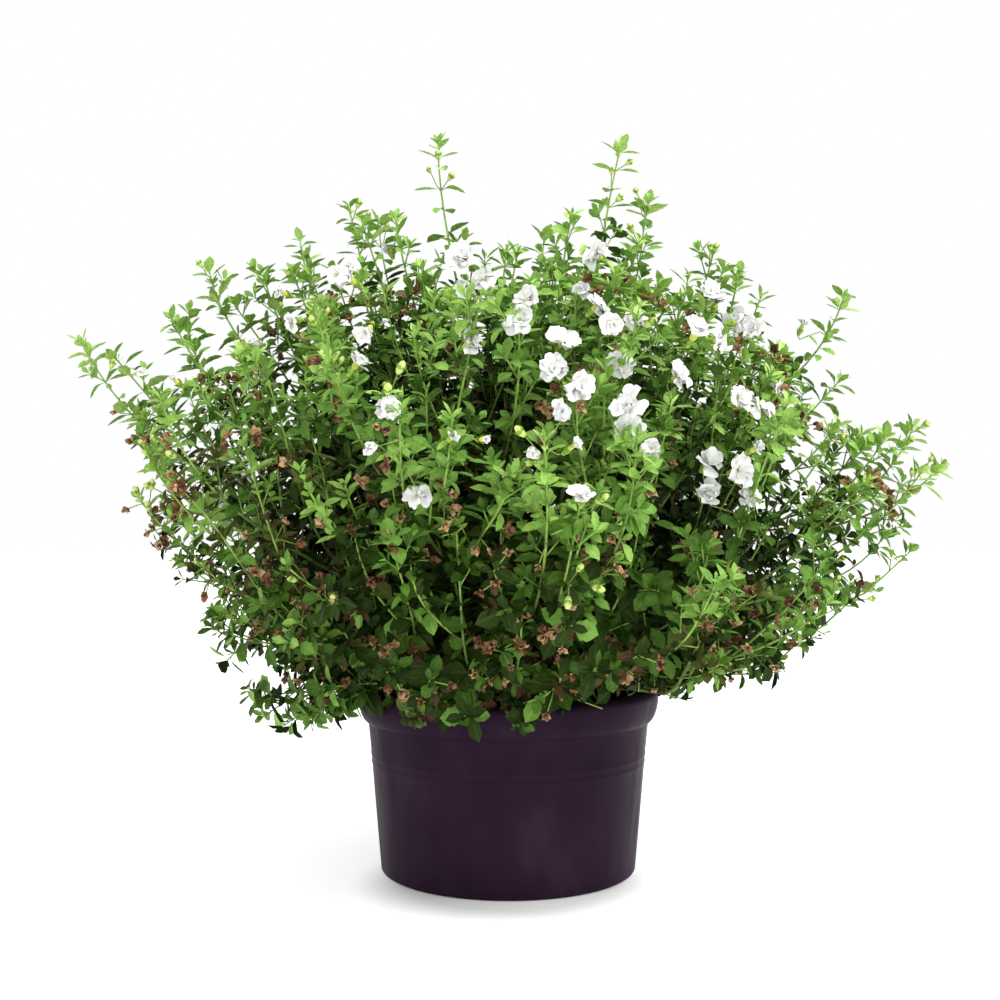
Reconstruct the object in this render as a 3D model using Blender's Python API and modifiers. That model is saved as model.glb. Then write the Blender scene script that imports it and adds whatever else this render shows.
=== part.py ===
"""Bacopa with double white flowers in its growing pot, in metres, +Z up.

The low round pot stands on the ground, with the centre of its flat underside at the origin. One
short woody foot stands on the peat that fills it. Thin boughs fan out from the knob on that foot,
and each ends at one mass of leafy twigs. The lowest masses spring straight from the knob and hang
over the pot's rim. Every mass keeps to its own cone of space, seen from the heart of the knob.
The side that faces -Y is the front.
"""

import math
import random

import bmesh
import bpy
from mathutils import Matrix, Vector

# Pot: a thin moulded shell with a rounded lip, two fine rings and drain slots in its floor
POT_HEIGHT = 0.115
POT_FOOT_RADIUS = 0.0800
POT_NECK_RADIUS = 0.0881
RIM_RADIUS = 0.0947
LIP_DEPTH = 0.0213
LIP_ROUND = 0.0050
LIP_ANGLES = (90.0, 45.0, 0.0, -30.0, -60.0, -90.0)
WALL = 0.0018
FLOOR = 0.0022
EDGE_ROUND = 0.0016
RING_HEIGHTS = (0.0738, 0.0686)
RING_HALF_DEPTH = 0.0016
RING_PROUD = 0.0006
POT_STEPS = 32
DRAIN_SLOTS = 8
DRAIN_WIDTH = 0.009
DRAIN_LENGTH = 0.012
DRAIN_HEIGHT = 0.003
DRAIN_INSET = 0.0115
SHARP_ANGLE = 35.0

# Peat and woody foot
PEAT_BELOW_RIM = 0.017
PEAT_MOUND = 0.004
SEAT_GAP = 0.0003
KNOB_RADIUS = 0.0140
NECK_RADIUS = 0.0085
FLARE_RADIUS = 0.0155
HEART_ABOVE_RIM = 0.008
KNOB_ANGLES = (64.0, 40.0, 16.0, -8.0, -32.0)
FOOT_STEPS = 16

# Outline of the crown, as the reach from the heart at an angle above the horizon. On the -X side
# the same reach comes LEFT_HIGHER degrees higher up.
LOW_ANGLE, LOW_REACH = -14.0, 0.135
HIGH_ANGLE, HIGH_REACH = 37.0, 0.325
LEFT_HIGHER = 7.0
REACH_SPREAD = (0.95, 1.02)

# Rings of masses: name, number, first azimuth, angle at the knob, angle at the tip, how many degrees
# its twigs rise and fall from its stem, and the share of its reach that is bough. Azimuth 0 is +X,
# and angles are degrees above the horizon.
RINGS = (
    ("flank", 8, 0.0, 20.0, 26.0, 9.0, 0.22),
    ("shoulder", 7, 12.0, 42.0, 47.0, 9.0, 0.25),
    ("upper", 5, 54.0, 62.0, 66.0, 8.0, 0.28),
    ("top", 2, 0.0, 80.0, 83.0, 7.0, 0.32),
)
RING_JITTER = 3.0

# Skirt: masses that cross the rim and hang outside it, lower on the side where DROOP_AZIMUTH points
SKIRT_COUNT = 8
SKIRT_AZIMUTH = 22.5
SKIRT_BEND_RADIUS = 0.103
SKIRT_BEND_FALL = 0.003
SKIRT_REACH = 0.168
SKIRT_SPREAD = (0.93, 1.05)
SKIRT_TIP_ANGLE = -1.0
SKIRT_RISE = 4.0
DROOP_AZIMUTH = 200.0
DROOP_ANGLE = 4.0
HANG_BELOW_RIM = 0.014
HANG_SWING = 0.011

# Shoots that stand proud of the outline: azimuth, angle and reach
LONG_SHOOTS = (
    (181.0, 37.0, 0.352),
    (2.0, 27.0, 0.325),
    (358.0, 50.0, 0.345),
    (179.0, 54.0, 0.342),
    (184.0, 82.0, 0.348),
    (357.0, 78.5, 0.354),
)
LONG_SHOOT_START = 0.4

# Side twigs: how far along its stem's first half each starts, and how far it swings sideways and up
SIDE_TWIGS = (
    (0.12, -0.80, -0.30),
    (0.20, 0.80, 0.30),
    (0.60, 0.25, -0.85),
    (0.72, -0.25, 0.85),
)
SKIRT_TWIGS = (
    (0.30, -0.78, 1.0),
    (0.36, 0.78, 1.0),
    (0.92, -0.34, -0.6),
    (0.96, 0.38, 0.2),
)
SWING_SPREAD = (0.85, 1.0)
TWIG_SPREAD = (0.9, 1.0)
BOUGH_BASE_RADIUS = 0.0019
BOUGH_TIP_RADIUS = 0.0015
TWIG_BASE_RADIUS = 0.0018
TWIG_TIP_RADIUS = 0.0012
TWIG_OVERLAP = 0.0010

# Leaves stand in pairs, each pair across the one before it, and one more ends each twig
LEAF_LENGTH = 0.040
LEAF_HALF_WIDTH = 0.0140
LEAF_WIDEST = 0.60
LEAF_RIDGE = 0.42
LEAF_THICKNESS = 0.0013
LEAF_LEAN = 52.0
LEAF_SUNK = 0.0006
LEAF_SIZES = (0.88, 1.04)
TIP_LEAF_SIZE = 0.85
TIP_LEAF_SUNK = 0.0015
SHORTER_LEAVES = (1.0, 0.8, 0.64)
PAIR_FROM_TIP = 0.018
PAIR_FROM_FOOT = 0.0063
PAIR_STEP = 0.068
STEP_SPREAD = (0.92, 1.08)
PAIR_TURN = 20.0

# Room that each leaf needs
LEAF_CORE = (0.45, 0.70, 0.95)
LEAF_APART = 0.0150
LEAF_OFF_TWIG = 0.0060
OFF_POT = 0.0015
OFF_LIMB = 0.0010
SPACE_GAP = 0.0006

# Flowers: most on masses that face SUNNY_WAY, and none on those whose direction has a rise under
# LOWEST_FLOWERS
FLOWER_RADIUS = 0.0135
FLOWER_DEPTH = 0.008
FLOWER_THROAT = 0.0012
FLOWER_NOTCH = 0.72
FLOWER_SUNK = 0.0035
FLOWER_TILT = (0.0, -0.25, 0.35)
SUNNY_WAY = (290.0, 55.0)
MOST_FLOWERS = 3
SHADE_FLOWERS = 0.35
FLOWER_CHANCE = 0.4
LOWEST_FLOWERS = 0.2
SEED = 41

HEART = Vector((0.0, 0.0, POT_HEIGHT + HEART_ABOVE_RIM))
PEAT_TOP = POT_HEIGHT - PEAT_BELOW_RIM


def clear_scene():
    for thing in list(bpy.data.objects):
        bpy.data.objects.remove(thing)
    for kind in list(bpy.data.collections):
        bpy.data.collections.remove(kind)


def new_collection(name):
    made = bpy.data.collections.new(name)
    bpy.context.scene.collection.children.link(made)
    return made


def finish(name, colour, roughness):
    """A plain surface of one colour."""
    made = bpy.data.materials.new(name)
    made.use_nodes = True
    surface = made.node_tree.nodes["Principled BSDF"]
    surface.inputs["Base Color"].default_value = (*colour, 1.0)
    surface.inputs["Roughness"].default_value = roughness
    surface.inputs["Metallic"].default_value = 0.0
    return made


def place(name, mesh, collection, material):
    thing = bpy.data.objects.new(name, mesh)
    collection.objects.link(thing)
    if material.name not in mesh.materials:
        mesh.materials.append(material)
    return thing


def turned(name, profile, steps, collection, material):
    """A solid turned about +Z from (radius, height) points that start and end on the axis."""
    mesh = bpy.data.meshes.new(name)
    edges = [(i, i + 1) for i in range(len(profile) - 1)]
    mesh.from_pydata([(r, 0.0, z) for r, z in profile], edges, [])
    thing = place(name, mesh, collection, material)
    screw = thing.modifiers.new("Turn", "SCREW")
    screw.steps = screw.render_steps = steps
    screw.use_merge_vertices = True
    screw.merge_threshold = 0.00001
    return thing


def settle(thing):
    """Turns a finished piece's modifiers into its own mesh, smooth with its real edges kept crisp."""
    bpy.context.view_layer.update()
    graph = bpy.context.evaluated_depsgraph_get()
    rough = thing.data
    thing.data = bpy.data.meshes.new_from_object(thing.evaluated_get(graph))
    thing.modifiers.clear()
    bpy.data.meshes.remove(rough)
    thing.data.shade_smooth()
    thing.data.set_sharp_from_angle(angle=math.radians(SHARP_ANGLE))
    return thing


def wall_radius(height):
    """Outer radius of the pot's tapering wall."""
    share = height / (POT_HEIGHT - LIP_DEPTH)
    return POT_FOOT_RADIUS + share * (POT_NECK_RADIUS - POT_FOOT_RADIUS)


def pot_profile():
    """From the middle of the inside floor, up over the lip and down the outside."""
    profile = [
        (0.0, FLOOR),
        (wall_radius(FLOOR) - WALL, FLOOR),
        (POT_NECK_RADIUS - WALL, POT_HEIGHT - LIP_DEPTH),
        (POT_NECK_RADIUS - WALL, POT_HEIGHT),
    ]
    proud = RIM_RADIUS - POT_NECK_RADIUS
    for angle in LIP_ANGLES:
        a = math.radians(angle)
        rise = LIP_ROUND if angle > 0.0 else LIP_DEPTH - LIP_ROUND
        height = POT_HEIGHT - LIP_ROUND + rise * math.sin(a)
        profile.append((POT_NECK_RADIUS + proud * math.cos(a), height))
    for ring in RING_HEIGHTS:
        for step, stand_out in ((1.0, 0.0), (0.0, RING_PROUD), (-1.0, 0.0)):
            height = ring + step * RING_HALF_DEPTH
            profile.append((wall_radius(height) + stand_out, height))
    profile.append((wall_radius(EDGE_ROUND), EDGE_ROUND))
    profile.append((POT_FOOT_RADIUS - EDGE_ROUND, 0.0))
    profile.append((0.0, 0.0))
    return profile


def make_pot(collection, cutters):
    plastic = finish("aubergine plastic", (0.036, 0.018, 0.034), 0.42)
    pot = turned("pot", pot_profile(), POT_STEPS, collection, plastic)
    for number in range(DRAIN_SLOTS):
        turn = Matrix.Rotation(math.tau * (number + 0.5) / DRAIN_SLOTS, 4, "Z")
        bm = bmesh.new()
        bmesh.ops.create_cube(bm, size=1.0)
        bmesh.ops.scale(bm, vec=(DRAIN_LENGTH, DRAIN_WIDTH, 2 * DRAIN_HEIGHT), verts=bm.verts)
        mesh = bpy.data.meshes.new(f"drain_cutter_{number + 1}")
        bm.to_mesh(mesh)
        bm.free()
        slot = bpy.data.objects.new(mesh.name, mesh)
        slot.matrix_world = turn @ Matrix.Translation((POT_FOOT_RADIUS - DRAIN_INSET, 0.0, 0.0))
        slot.hide_render = True
        slot.display_type = "WIRE"
        cutters.objects.link(slot)
    cut = pot.modifiers.new("Drain slots", "BOOLEAN")
    cut.operation = "DIFFERENCE"
    cut.operand_type = "COLLECTION"
    cut.collection = cutters
    return settle(pot)


def make_peat(collection):
    """A body that fills the pot, with a slight mound round the foot."""
    edge = PEAT_TOP - PEAT_MOUND
    profile = [
        (0.0, PEAT_TOP),
        (2.0 * FLARE_RADIUS, PEAT_TOP),
        (wall_radius(edge) - WALL - SEAT_GAP, edge),
        (wall_radius(FLOOR) - WALL - SEAT_GAP, FLOOR + SEAT_GAP),
        (0.0, FLOOR + SEAT_GAP),
    ]
    peat = finish("moist peat", (0.035, 0.022, 0.014), 0.95)
    return settle(turned("peat", profile, POT_STEPS, collection, peat))


def make_foot(collection):
    """Flat cut on the peat, flared above it, with a round knob that all the stems spring from."""
    profile = [(0.0, HEART.z + KNOB_RADIUS)]
    for angle in KNOB_ANGLES:
        a = math.radians(angle)
        profile.append((KNOB_RADIUS * math.cos(a), HEART.z + KNOB_RADIUS * math.sin(a)))
    profile += [
        (NECK_RADIUS, HEART.z - 0.9 * KNOB_RADIUS),
        (FLARE_RADIUS, PEAT_TOP + SEAT_GAP),
        (0.0, PEAT_TOP + SEAT_GAP),
    ]
    bark = finish("old bark", (0.16, 0.11, 0.06), 0.9)
    return settle(turned("foot", profile, FOOT_STEPS, collection, bark))


def toward(azimuth, angle):
    """Unit vector at an azimuth and an angle above the horizon, in degrees."""
    a, e = math.radians(azimuth), math.radians(angle)
    return Vector((math.cos(a) * math.cos(e), math.sin(a) * math.cos(e), math.sin(e)))


def reach_at(azimuth, angle):
    """How far the crown's outline lies from the heart in this direction."""
    angle -= LEFT_HIGHER * max(0.0, -math.cos(math.radians(azimuth)))
    share = min(1.0, max(0.0, (angle - LOW_ANGLE) / (HIGH_ANGLE - LOW_ANGLE)))
    return LOW_REACH + (HIGH_REACH - LOW_REACH) * share * share * (3.0 - 2.0 * share)


class Mass:
    """One mass of foliage: its stem's line, its cone of space and its own random draws."""

    def __init__(self, ring, number, count, first):
        self.name = f"{ring}_{number + 1}"
        self.draw = random.Random(f"{SEED} {self.name}")
        self.azimuth = first + 360.0 * number / count + self.draw.uniform(-RING_JITTER, RING_JITTER)
        self.lift = self.draw.uniform(-RING_JITTER, RING_JITTER) / 2
        self.walls = []

    def set_ring(self, count, base_angle, tip_angle, rise, bough_share):
        """A straight or slightly bent stem that fans out from the knob."""
        base, tip = base_angle + self.lift, tip_angle + self.lift
        reach = reach_at(self.azimuth, tip) * self.draw.uniform(*REACH_SPREAD)
        reach -= TIP_LEAF_SIZE * LEAF_LENGTH
        start = KNOB_RADIUS + SEAT_GAP
        self.axis = toward(self.azimuth, (base + tip) / 2)
        self.swing = (180.0 / count * math.cos(math.radians(tip)), rise)
        self.twigs = SIDE_TWIGS
        self.points = []
        for share in (0.0, bough_share, (1.0 + bough_share) / 2, 1.0):
            way = toward(self.azimuth, base + share * (tip - base))
            self.points.append(HEART + way * (start + share * (reach - start)))
        self.bough = self.points.pop(0)
        return self

    def set_skirt(self):
        """A stem that crosses the rim and hangs outside it."""
        droop = DROOP_ANGLE * math.cos(math.radians(self.azimuth - DROOP_AZIMUTH))
        tip = SKIRT_TIP_ANGLE + self.lift - droop
        out = toward(self.azimuth, 0.0)
        bend = HEART + out * SKIRT_BEND_RADIUS + Vector((0.0, 0.0, -SKIRT_BEND_FALL))
        start = HEART + (bend - HEART).normalized() * (KNOB_RADIUS + SEAT_GAP)
        end = HEART + toward(self.azimuth, tip) * SKIRT_REACH * self.draw.uniform(*SKIRT_SPREAD)
        self.axis = toward(self.azimuth, tip / 2)
        self.swing = (180.0 / SKIRT_COUNT, SKIRT_RISE)
        self.twigs = SKIRT_TWIGS
        self.points = [start, bend, end]
        self.bough = None
        return self

    def holds(self, point, room):
        """Whether a point lies inside the mass's cone, at least this far from its walls."""
        return all(wall.dot(point - HEART) > room + SPACE_GAP for wall in self.walls)


def plan_masses():
    masses = [Mass("skirt", i, SKIRT_COUNT, SKIRT_AZIMUTH).set_skirt() for i in range(SKIRT_COUNT)]
    for name, count, first, base, tip, rise, share in RINGS:
        for number in range(count):
            mass = Mass(name, number, count, first)
            masses.append(mass.set_ring(count, base, tip, rise, share))
    for mass in masses:
        mass.walls = [(mass.axis - other.axis).normalized() for other in masses if other is not mass]
    return masses


def clear_of_pot(point, room):
    """Whether a point is above the rim, over the peat round the foot, or outside and not too low."""
    radius = math.hypot(point.x, point.y)
    if radius > RIM_RADIUS + room:
        droop = toward(DROOP_AZIMUTH, 0.0).dot(point) / radius
        return point.z > POT_HEIGHT - HANG_BELOW_RIM - HANG_SWING * droop
    if FLARE_RADIUS + room < radius < POT_NECK_RADIUS - WALL - room:
        return point.z > PEAT_TOP + room
    return point.z > POT_HEIGHT + room


def distance_to_line(point, start, end):
    along = (point - start).dot(end - start) / (end - start).length_squared
    nearest = start + (end - start) * min(1.0, max(0.0, along))
    return (point - nearest).length


def leaf_mesh():
    """A blade from its stalk at the origin to its tip on +Y: flat above, with a shallow keel below."""
    bm = bmesh.new()
    bmesh.ops.create_cone(bm, cap_ends=True, segments=4, radius1=1.0, radius2=0.0, depth=1.0)
    for v in bm.verts:
        if v.co.z > 0.0:
            v.co = Vector((0.0, LEAF_RIDGE * LEAF_LENGTH, LEAF_THICKNESS))
        elif abs(v.co.x) > 0.5:
            v.co = Vector((math.copysign(LEAF_HALF_WIDTH, v.co.x), LEAF_WIDEST * LEAF_LENGTH, 0.0))
        else:
            v.co = Vector((0.0, LEAF_LENGTH if v.co.y > 0.0 else 0.0, 0.0))
    bmesh.ops.remove_doubles(bm, verts=bm.verts, dist=0.00001)
    mesh = bpy.data.meshes.new("leaf")
    bm.to_mesh(mesh)
    bm.free()
    return mesh


def flower_mesh():
    """Five lobes round a shallow throat, over the narrow tube that the twig enters."""
    bm = bmesh.new()
    bmesh.ops.create_uvsphere(bm, u_segments=10, v_segments=2, radius=1.0)
    for v in bm.verts:
        if v.co.z > 0.5:
            v.co = Vector((0.0, 0.0, FLOWER_DEPTH - FLOWER_THROAT))
        elif v.co.z < -0.5:
            v.co = Vector((0.0, 0.0, 0.0))
        else:
            turn = math.atan2(v.co.y, v.co.x)
            notch = round(turn / math.tau * 10) % 2
            radius = FLOWER_RADIUS * (FLOWER_NOTCH if notch else 1.0)
            v.co = Vector((radius * math.cos(turn), radius * math.sin(turn), FLOWER_DEPTH))
    for face in bm.faces:
        face.material_index = 1
    mesh = bpy.data.meshes.new("flower")
    bm.to_mesh(mesh)
    bm.free()
    return mesh


def frame_along(origin, along, up):
    """A matrix at origin with its Y axis along one vector and its Z axis as near up as it can be."""
    y = along.normalized()
    x = y.cross(up).normalized()
    z = x.cross(y)
    turn = Matrix((x, y, z)).transposed().to_4x4()
    return Matrix.Translation(origin) @ turn


class Spray:
    """The loose pieces of one mass, gathered before one union joins them."""

    def __init__(self, mass, leaf, flower, green, white):
        self.mass = mass
        self.leaf, self.flower = leaf, flower
        self.green, self.white = green, white
        self.pieces = new_collection(f"{mass.name}_pieces")
        self.stem = None
        self.lines = []
        self.taken = []

    def add_twig(self, start, end, base_radius, tip_radius):
        """A three-sided tapering twig. It is left out where it would leave the mass's space."""
        samples = [start.lerp(end, i / 8) for i in range(9)]
        if not all(self.mass.holds(p, base_radius) for p in samples):
            return False
        if not all(clear_of_pot(p, base_radius + OFF_LIMB) for p in samples):
            return False
        bm = bmesh.new()
        length = (end - start).length
        bmesh.ops.create_cone(
            bm, cap_ends=True, segments=3, radius1=base_radius, radius2=tip_radius, depth=length
        )
        turn = (end - start).to_track_quat("Z", "Y").to_matrix().to_4x4()
        bmesh.ops.transform(bm, matrix=Matrix.Translation((start + end) / 2) @ turn, verts=bm.verts)
        mesh = bpy.data.meshes.new(self.mass.name)
        bm.to_mesh(mesh)
        bm.free()
        mesh.materials.append(self.green)
        mesh.materials.append(self.white)
        twig = bpy.data.objects.new(self.mass.name, mesh)
        if self.stem is None:
            self.stem = twig
        else:
            self.pieces.objects.link(twig)
        self.lines.append((start, end))
        return True

    def core_of(self, matrix):
        """Points along the middle of a leaf."""
        return [matrix @ Vector((0.0, share * LEAF_LENGTH, 0.0)) for share in LEAF_CORE]

    def has_room(self, matrix, own_line):
        """Whether a leaf or flower keeps to the mass's space, off the pot and off its neighbours."""
        corners = [matrix @ v.co for v in self.leaf.vertices]
        root, core = matrix.translation, self.core_of(matrix)
        if not all(self.mass.holds(p, 0.0) for p in corners):
            return False
        samples = [root.lerp(corner, share) for corner in corners for share in (0.25, 0.5, 0.75, 1.0)]
        if not all(clear_of_pot(p, OFF_POT) for p in samples):
            return False
        if any((p - other).length < LEAF_APART for p in core for other in self.taken):
            return False
        for line in self.lines:
            if line != own_line and min(distance_to_line(p, *line) for p in core) < LEAF_OFF_TWIG:
                return False
        if self.mass.bough:
            limb = (self.mass.bough, self.mass.points[0])
            return min(distance_to_line(p, *limb) for p in samples) > BOUGH_BASE_RADIUS + OFF_LIMB
        return True

    def add_copy(self, master, matrix):
        mesh = master.copy()
        mesh.transform(matrix)
        mesh.materials.append(self.green)
        mesh.materials.append(self.white)
        self.pieces.objects.link(bpy.data.objects.new(master.name, mesh))

    def add_leaf(self, root, direction, up, size, own_line):
        """A leaf whose stalk is sunk into its twig. One that has no room is shortened, then left out."""
        for shorter in SHORTER_LEAVES:
            matrix = frame_along(root - direction * LEAF_SUNK, direction, up)
            matrix = matrix @ Matrix.Scale(size * shorter, 4)
            if self.has_room(matrix, own_line):
                self.add_copy(self.leaf, matrix)
                self.taken += self.core_of(matrix)
                return

    def add_pair(self, point, line, size, turn):
        """Two leaves that face each other across a twig."""
        along = (line[1] - line[0]).normalized()
        side = along.cross(Vector((0.0, 0.0, 1.0)))
        side = side.normalized() if side.length > 0.01 else Vector((1.0, 0.0, 0.0))
        side = Matrix.Rotation(math.radians(turn), 3, along) @ side
        lean = math.radians(LEAF_LEAN)
        for sign in (-1.0, 1.0):
            direction = along * math.cos(lean) + side * (sign * math.sin(lean))
            self.add_leaf(point, direction.normalized(), -along, size, line)

    def add_flower(self, line):
        """A flower that faces up and a little to the front, over the tip of its twig."""
        along = (line[1] - line[0]).normalized()
        up = (along + Vector(FLOWER_TILT)).normalized()
        turn = up.to_track_quat("Z", "Y").to_matrix().to_4x4()
        matrix = Matrix.Translation(line[1] - up * FLOWER_SUNK) @ turn
        corners = [matrix @ v.co for v in self.flower.vertices]
        if not all(self.mass.holds(p, 0.0) for p in corners):
            return False
        self.add_copy(self.flower, matrix)
        self.taken.append(matrix.translation)
        return True

    def add_tip(self, line, blooms):
        """A leaf or a flower on the tip of a twig."""
        along = (line[1] - line[0]).normalized()
        if not (blooms and self.add_flower(line)):
            root = line[1] - along * TIP_LEAF_SUNK
            self.add_leaf(root, along, along.orthogonal().normalized(), TIP_LEAF_SIZE, line)

    def add_pairs(self, line, back, turn):
        """Pairs of leaves from near the tip of a twig back to its foot, each across the one before."""
        start, end = line
        draw = self.mass.draw
        along = (end - start).normalized()
        turn += draw.uniform(-PAIR_TURN, PAIR_TURN)
        while back < (end - start).length - PAIR_FROM_FOOT:
            self.add_pair(end - along * back, line, draw.uniform(*LEAF_SIZES), turn)
            back += PAIR_STEP * draw.uniform(*STEP_SPREAD)
            turn += 90.0

    def join(self):
        """Joins the stem and all that grows on it into one body."""
        stem = self.stem
        join = stem.modifiers.new("Join", "BOOLEAN")
        join.operation = "UNION"
        join.solver = "MANIFOLD"
        join.operand_type = "COLLECTION"
        join.collection = self.pieces
        bpy.context.scene.collection.objects.link(stem)
        bpy.context.view_layer.update()
        graph = bpy.context.evaluated_depsgraph_get()
        mesh = bpy.data.meshes.new_from_object(stem.evaluated_get(graph))
        for thing in [stem, *self.pieces.objects]:
            bpy.data.objects.remove(thing)
        bpy.data.collections.remove(self.pieces)
        keep_largest(mesh)
        return mesh


def keep_largest(mesh):
    """Drops any loose scrap beside the one body."""
    bm = bmesh.new()
    bm.from_mesh(mesh)
    left = set(bm.verts)
    bodies = []
    while left:
        seeds = [left.pop()]
        body = list(seeds)
        while seeds:
            for edge in seeds.pop().link_edges:
                for v in edge.verts:
                    if v in left:
                        left.discard(v)
                        seeds.append(v)
                        body.append(v)
        bodies.append(body)
    bodies.sort(key=len, reverse=True)
    for body in bodies[1:]:
        bmesh.ops.delete(bm, geom=body, context="VERTS")
    bm.to_mesh(mesh)
    bm.free()


def flowers_of(mass):
    """How many flowers a mass opens: most on the sunny side, and none low down."""
    if mass.axis.z < LOWEST_FLOWERS:
        return 0
    light = toward(*SUNNY_WAY).dot(mass.axis)
    wanted = MOST_FLOWERS * (SHADE_FLOWERS + (1.0 - SHADE_FLOWERS) * light)
    return max(0, round(wanted - FLOWER_CHANCE * mass.draw.random()))


def grow_mass(mass, leaf, flower, green, white, collection):
    """A mass's stem, its side twigs and any long shoot in its space, joined into one solid."""
    draw = mass.draw
    spray = Spray(mass, leaf, flower, green, white)
    root, middle, end = mass.points
    if mass.bough:
        root = root + (middle - root).normalized() * SEAT_GAP
    overlap = (middle - end).normalized() * TWIG_OVERLAP
    spray.add_twig(root, middle, TWIG_BASE_RADIUS, TWIG_BASE_RADIUS)
    spray.add_twig(middle + overlap, end, TWIG_BASE_RADIUS, TWIG_TIP_RADIUS)

    across = Vector((-math.sin(math.radians(mass.azimuth)), math.cos(math.radians(mass.azimuth)), 0.0))
    upward = across.cross(mass.axis) * -1.0
    stem_reach = (end - HEART).length
    for share, sideways, up in mass.twigs:
        start = root.lerp(middle, share)
        wide = math.tan(math.radians(mass.swing[0])) * sideways * draw.uniform(*SWING_SPREAD)
        high = math.tan(math.radians(mass.swing[1])) * up * draw.uniform(*SWING_SPREAD)
        way = ((end - HEART).normalized() + across * wide + upward * high).normalized()
        tip = HEART + way * stem_reach * draw.uniform(*TWIG_SPREAD)
        spray.add_twig(start, tip, TWIG_BASE_RADIUS, TWIG_TIP_RADIUS)
    for azimuth, angle, reach in LONG_SHOOTS:
        way = toward(azimuth, angle)
        if mass.holds(HEART + way * reach, FLOWER_RADIUS / 3):
            tip = HEART + way * (reach - TIP_LEAF_SIZE * LEAF_LENGTH)
            spray.add_twig(root.lerp(middle, LONG_SHOOT_START), tip, TWIG_BASE_RADIUS, TWIG_TIP_RADIUS)

    blooms = flowers_of(mass)
    for number, line in enumerate(spray.lines[1:]):
        spray.add_tip(line, 0 < number <= blooms)
    for number, line in enumerate(spray.lines):
        first = PAIR_FROM_TIP if number else PAIR_STEP - PAIR_FROM_TIP
        spray.add_pairs(line, first, 90.0 * draw.randrange(2))

    solid = place(mass.name, spray.join(), collection, green)
    if mass.bough:
        make_bough(mass, collection)
    return solid


def make_bough(mass, collection):
    """A thin tapering limb from the knob to the root of its mass."""
    curve = bpy.data.curves.new(f"bough_{mass.name}", "CURVE")
    curve.dimensions = "3D"
    curve.bevel_depth = 1.0
    curve.bevel_resolution = 1
    curve.use_fill_caps = True
    spline = curve.splines.new("POLY")
    spline.points.add(2)
    for number, slot in enumerate(spline.points):
        share = number / 2
        slot.co = (*mass.bough.lerp(mass.points[0], share), 1.0)
        slot.radius = BOUGH_BASE_RADIUS + (BOUGH_TIP_RADIUS - BOUGH_BASE_RADIUS) * share
    curve.materials.append(bpy.data.materials["green bark"])
    bough = bpy.data.objects.new(curve.name, curve)
    collection.objects.link(bough)
    return bough


def main():
    clear_scene()
    plant = new_collection("potted bacopa")
    cutters = new_collection("cutters")
    make_pot(plant, cutters)
    make_peat(plant)
    make_foot(plant)
    finish("green bark", (0.17, 0.20, 0.07), 0.7)
    green = finish("leaf green", (0.10, 0.25, 0.04), 0.6)
    white = finish("petal white", (0.85, 0.86, 0.84), 0.6)
    leaf, flower = leaf_mesh(), flower_mesh()
    for mass in plan_masses():
        grow_mass(mass, leaf, flower, green, white, plant)


main()
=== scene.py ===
"""Bacopa with double white flowers in its growing pot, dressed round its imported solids.

The sections follow the plant as it is put together: pot, peat, woody foot and boughs, leafy
shoots, flowers, buds and spent flowers. The floor, the light and the camera come last. Lengths
are in metres, +Z is up and the side that faces -Y is the front.
"""

import math
import random

import bmesh
import bpy
import numpy as np
from mathutils import Matrix, Vector


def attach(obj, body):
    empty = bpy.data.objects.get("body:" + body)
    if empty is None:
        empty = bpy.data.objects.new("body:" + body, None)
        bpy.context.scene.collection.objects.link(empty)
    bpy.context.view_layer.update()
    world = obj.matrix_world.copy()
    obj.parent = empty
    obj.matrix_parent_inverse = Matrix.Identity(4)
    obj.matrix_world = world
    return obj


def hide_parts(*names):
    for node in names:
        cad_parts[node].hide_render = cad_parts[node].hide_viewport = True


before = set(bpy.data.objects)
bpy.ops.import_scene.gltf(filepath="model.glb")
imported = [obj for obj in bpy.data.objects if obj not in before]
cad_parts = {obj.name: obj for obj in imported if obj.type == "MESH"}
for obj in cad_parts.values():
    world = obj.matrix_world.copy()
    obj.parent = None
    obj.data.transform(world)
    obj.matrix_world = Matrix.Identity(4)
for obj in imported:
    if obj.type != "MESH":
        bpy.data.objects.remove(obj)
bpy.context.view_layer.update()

# The growing pot is one thin moulding of dark aubergine plastic. Its lip is rolled outwards over
# a plain neck, two fine rings run round the wall below it, and short slots in its floor let water
# out on to the ground.
POT_HEIGHT = 0.115
POT_FOOT_RADIUS = 0.0800
POT_NECK_RADIUS = 0.0881
RIM_RADIUS = 0.0947
LIP_DEPTH = 0.0213
LIP_ROUND = 0.0050
WALL = 0.0018
FLOOR = 0.0022
FOOT_ROUND = 0.0016
RING_HEIGHTS = (0.0738, 0.0686)
RING_HALF_DEPTH = 0.0011
RING_PROUD = 0.00028
POT_STEPS = 96
DRAIN_SLOTS = 8
DRAIN_SIZE = (0.012, 0.009, 0.006)
DRAIN_INSET = 0.0115


def select_verts(piece, wanted):
    """Selects a piece's vertices whose place passes a test, and nothing else, in edit mode."""
    bpy.ops.mesh.select_all(action="DESELECT")
    bpy.ops.mesh.select_mode(type="VERT")
    bm = bmesh.from_edit_mesh(piece.data)
    for v in bm.verts:
        if wanted(v):
            v.select_set(True)
    bm.select_flush(True)
    bmesh.update_edit_mesh(piece.data)


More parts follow.
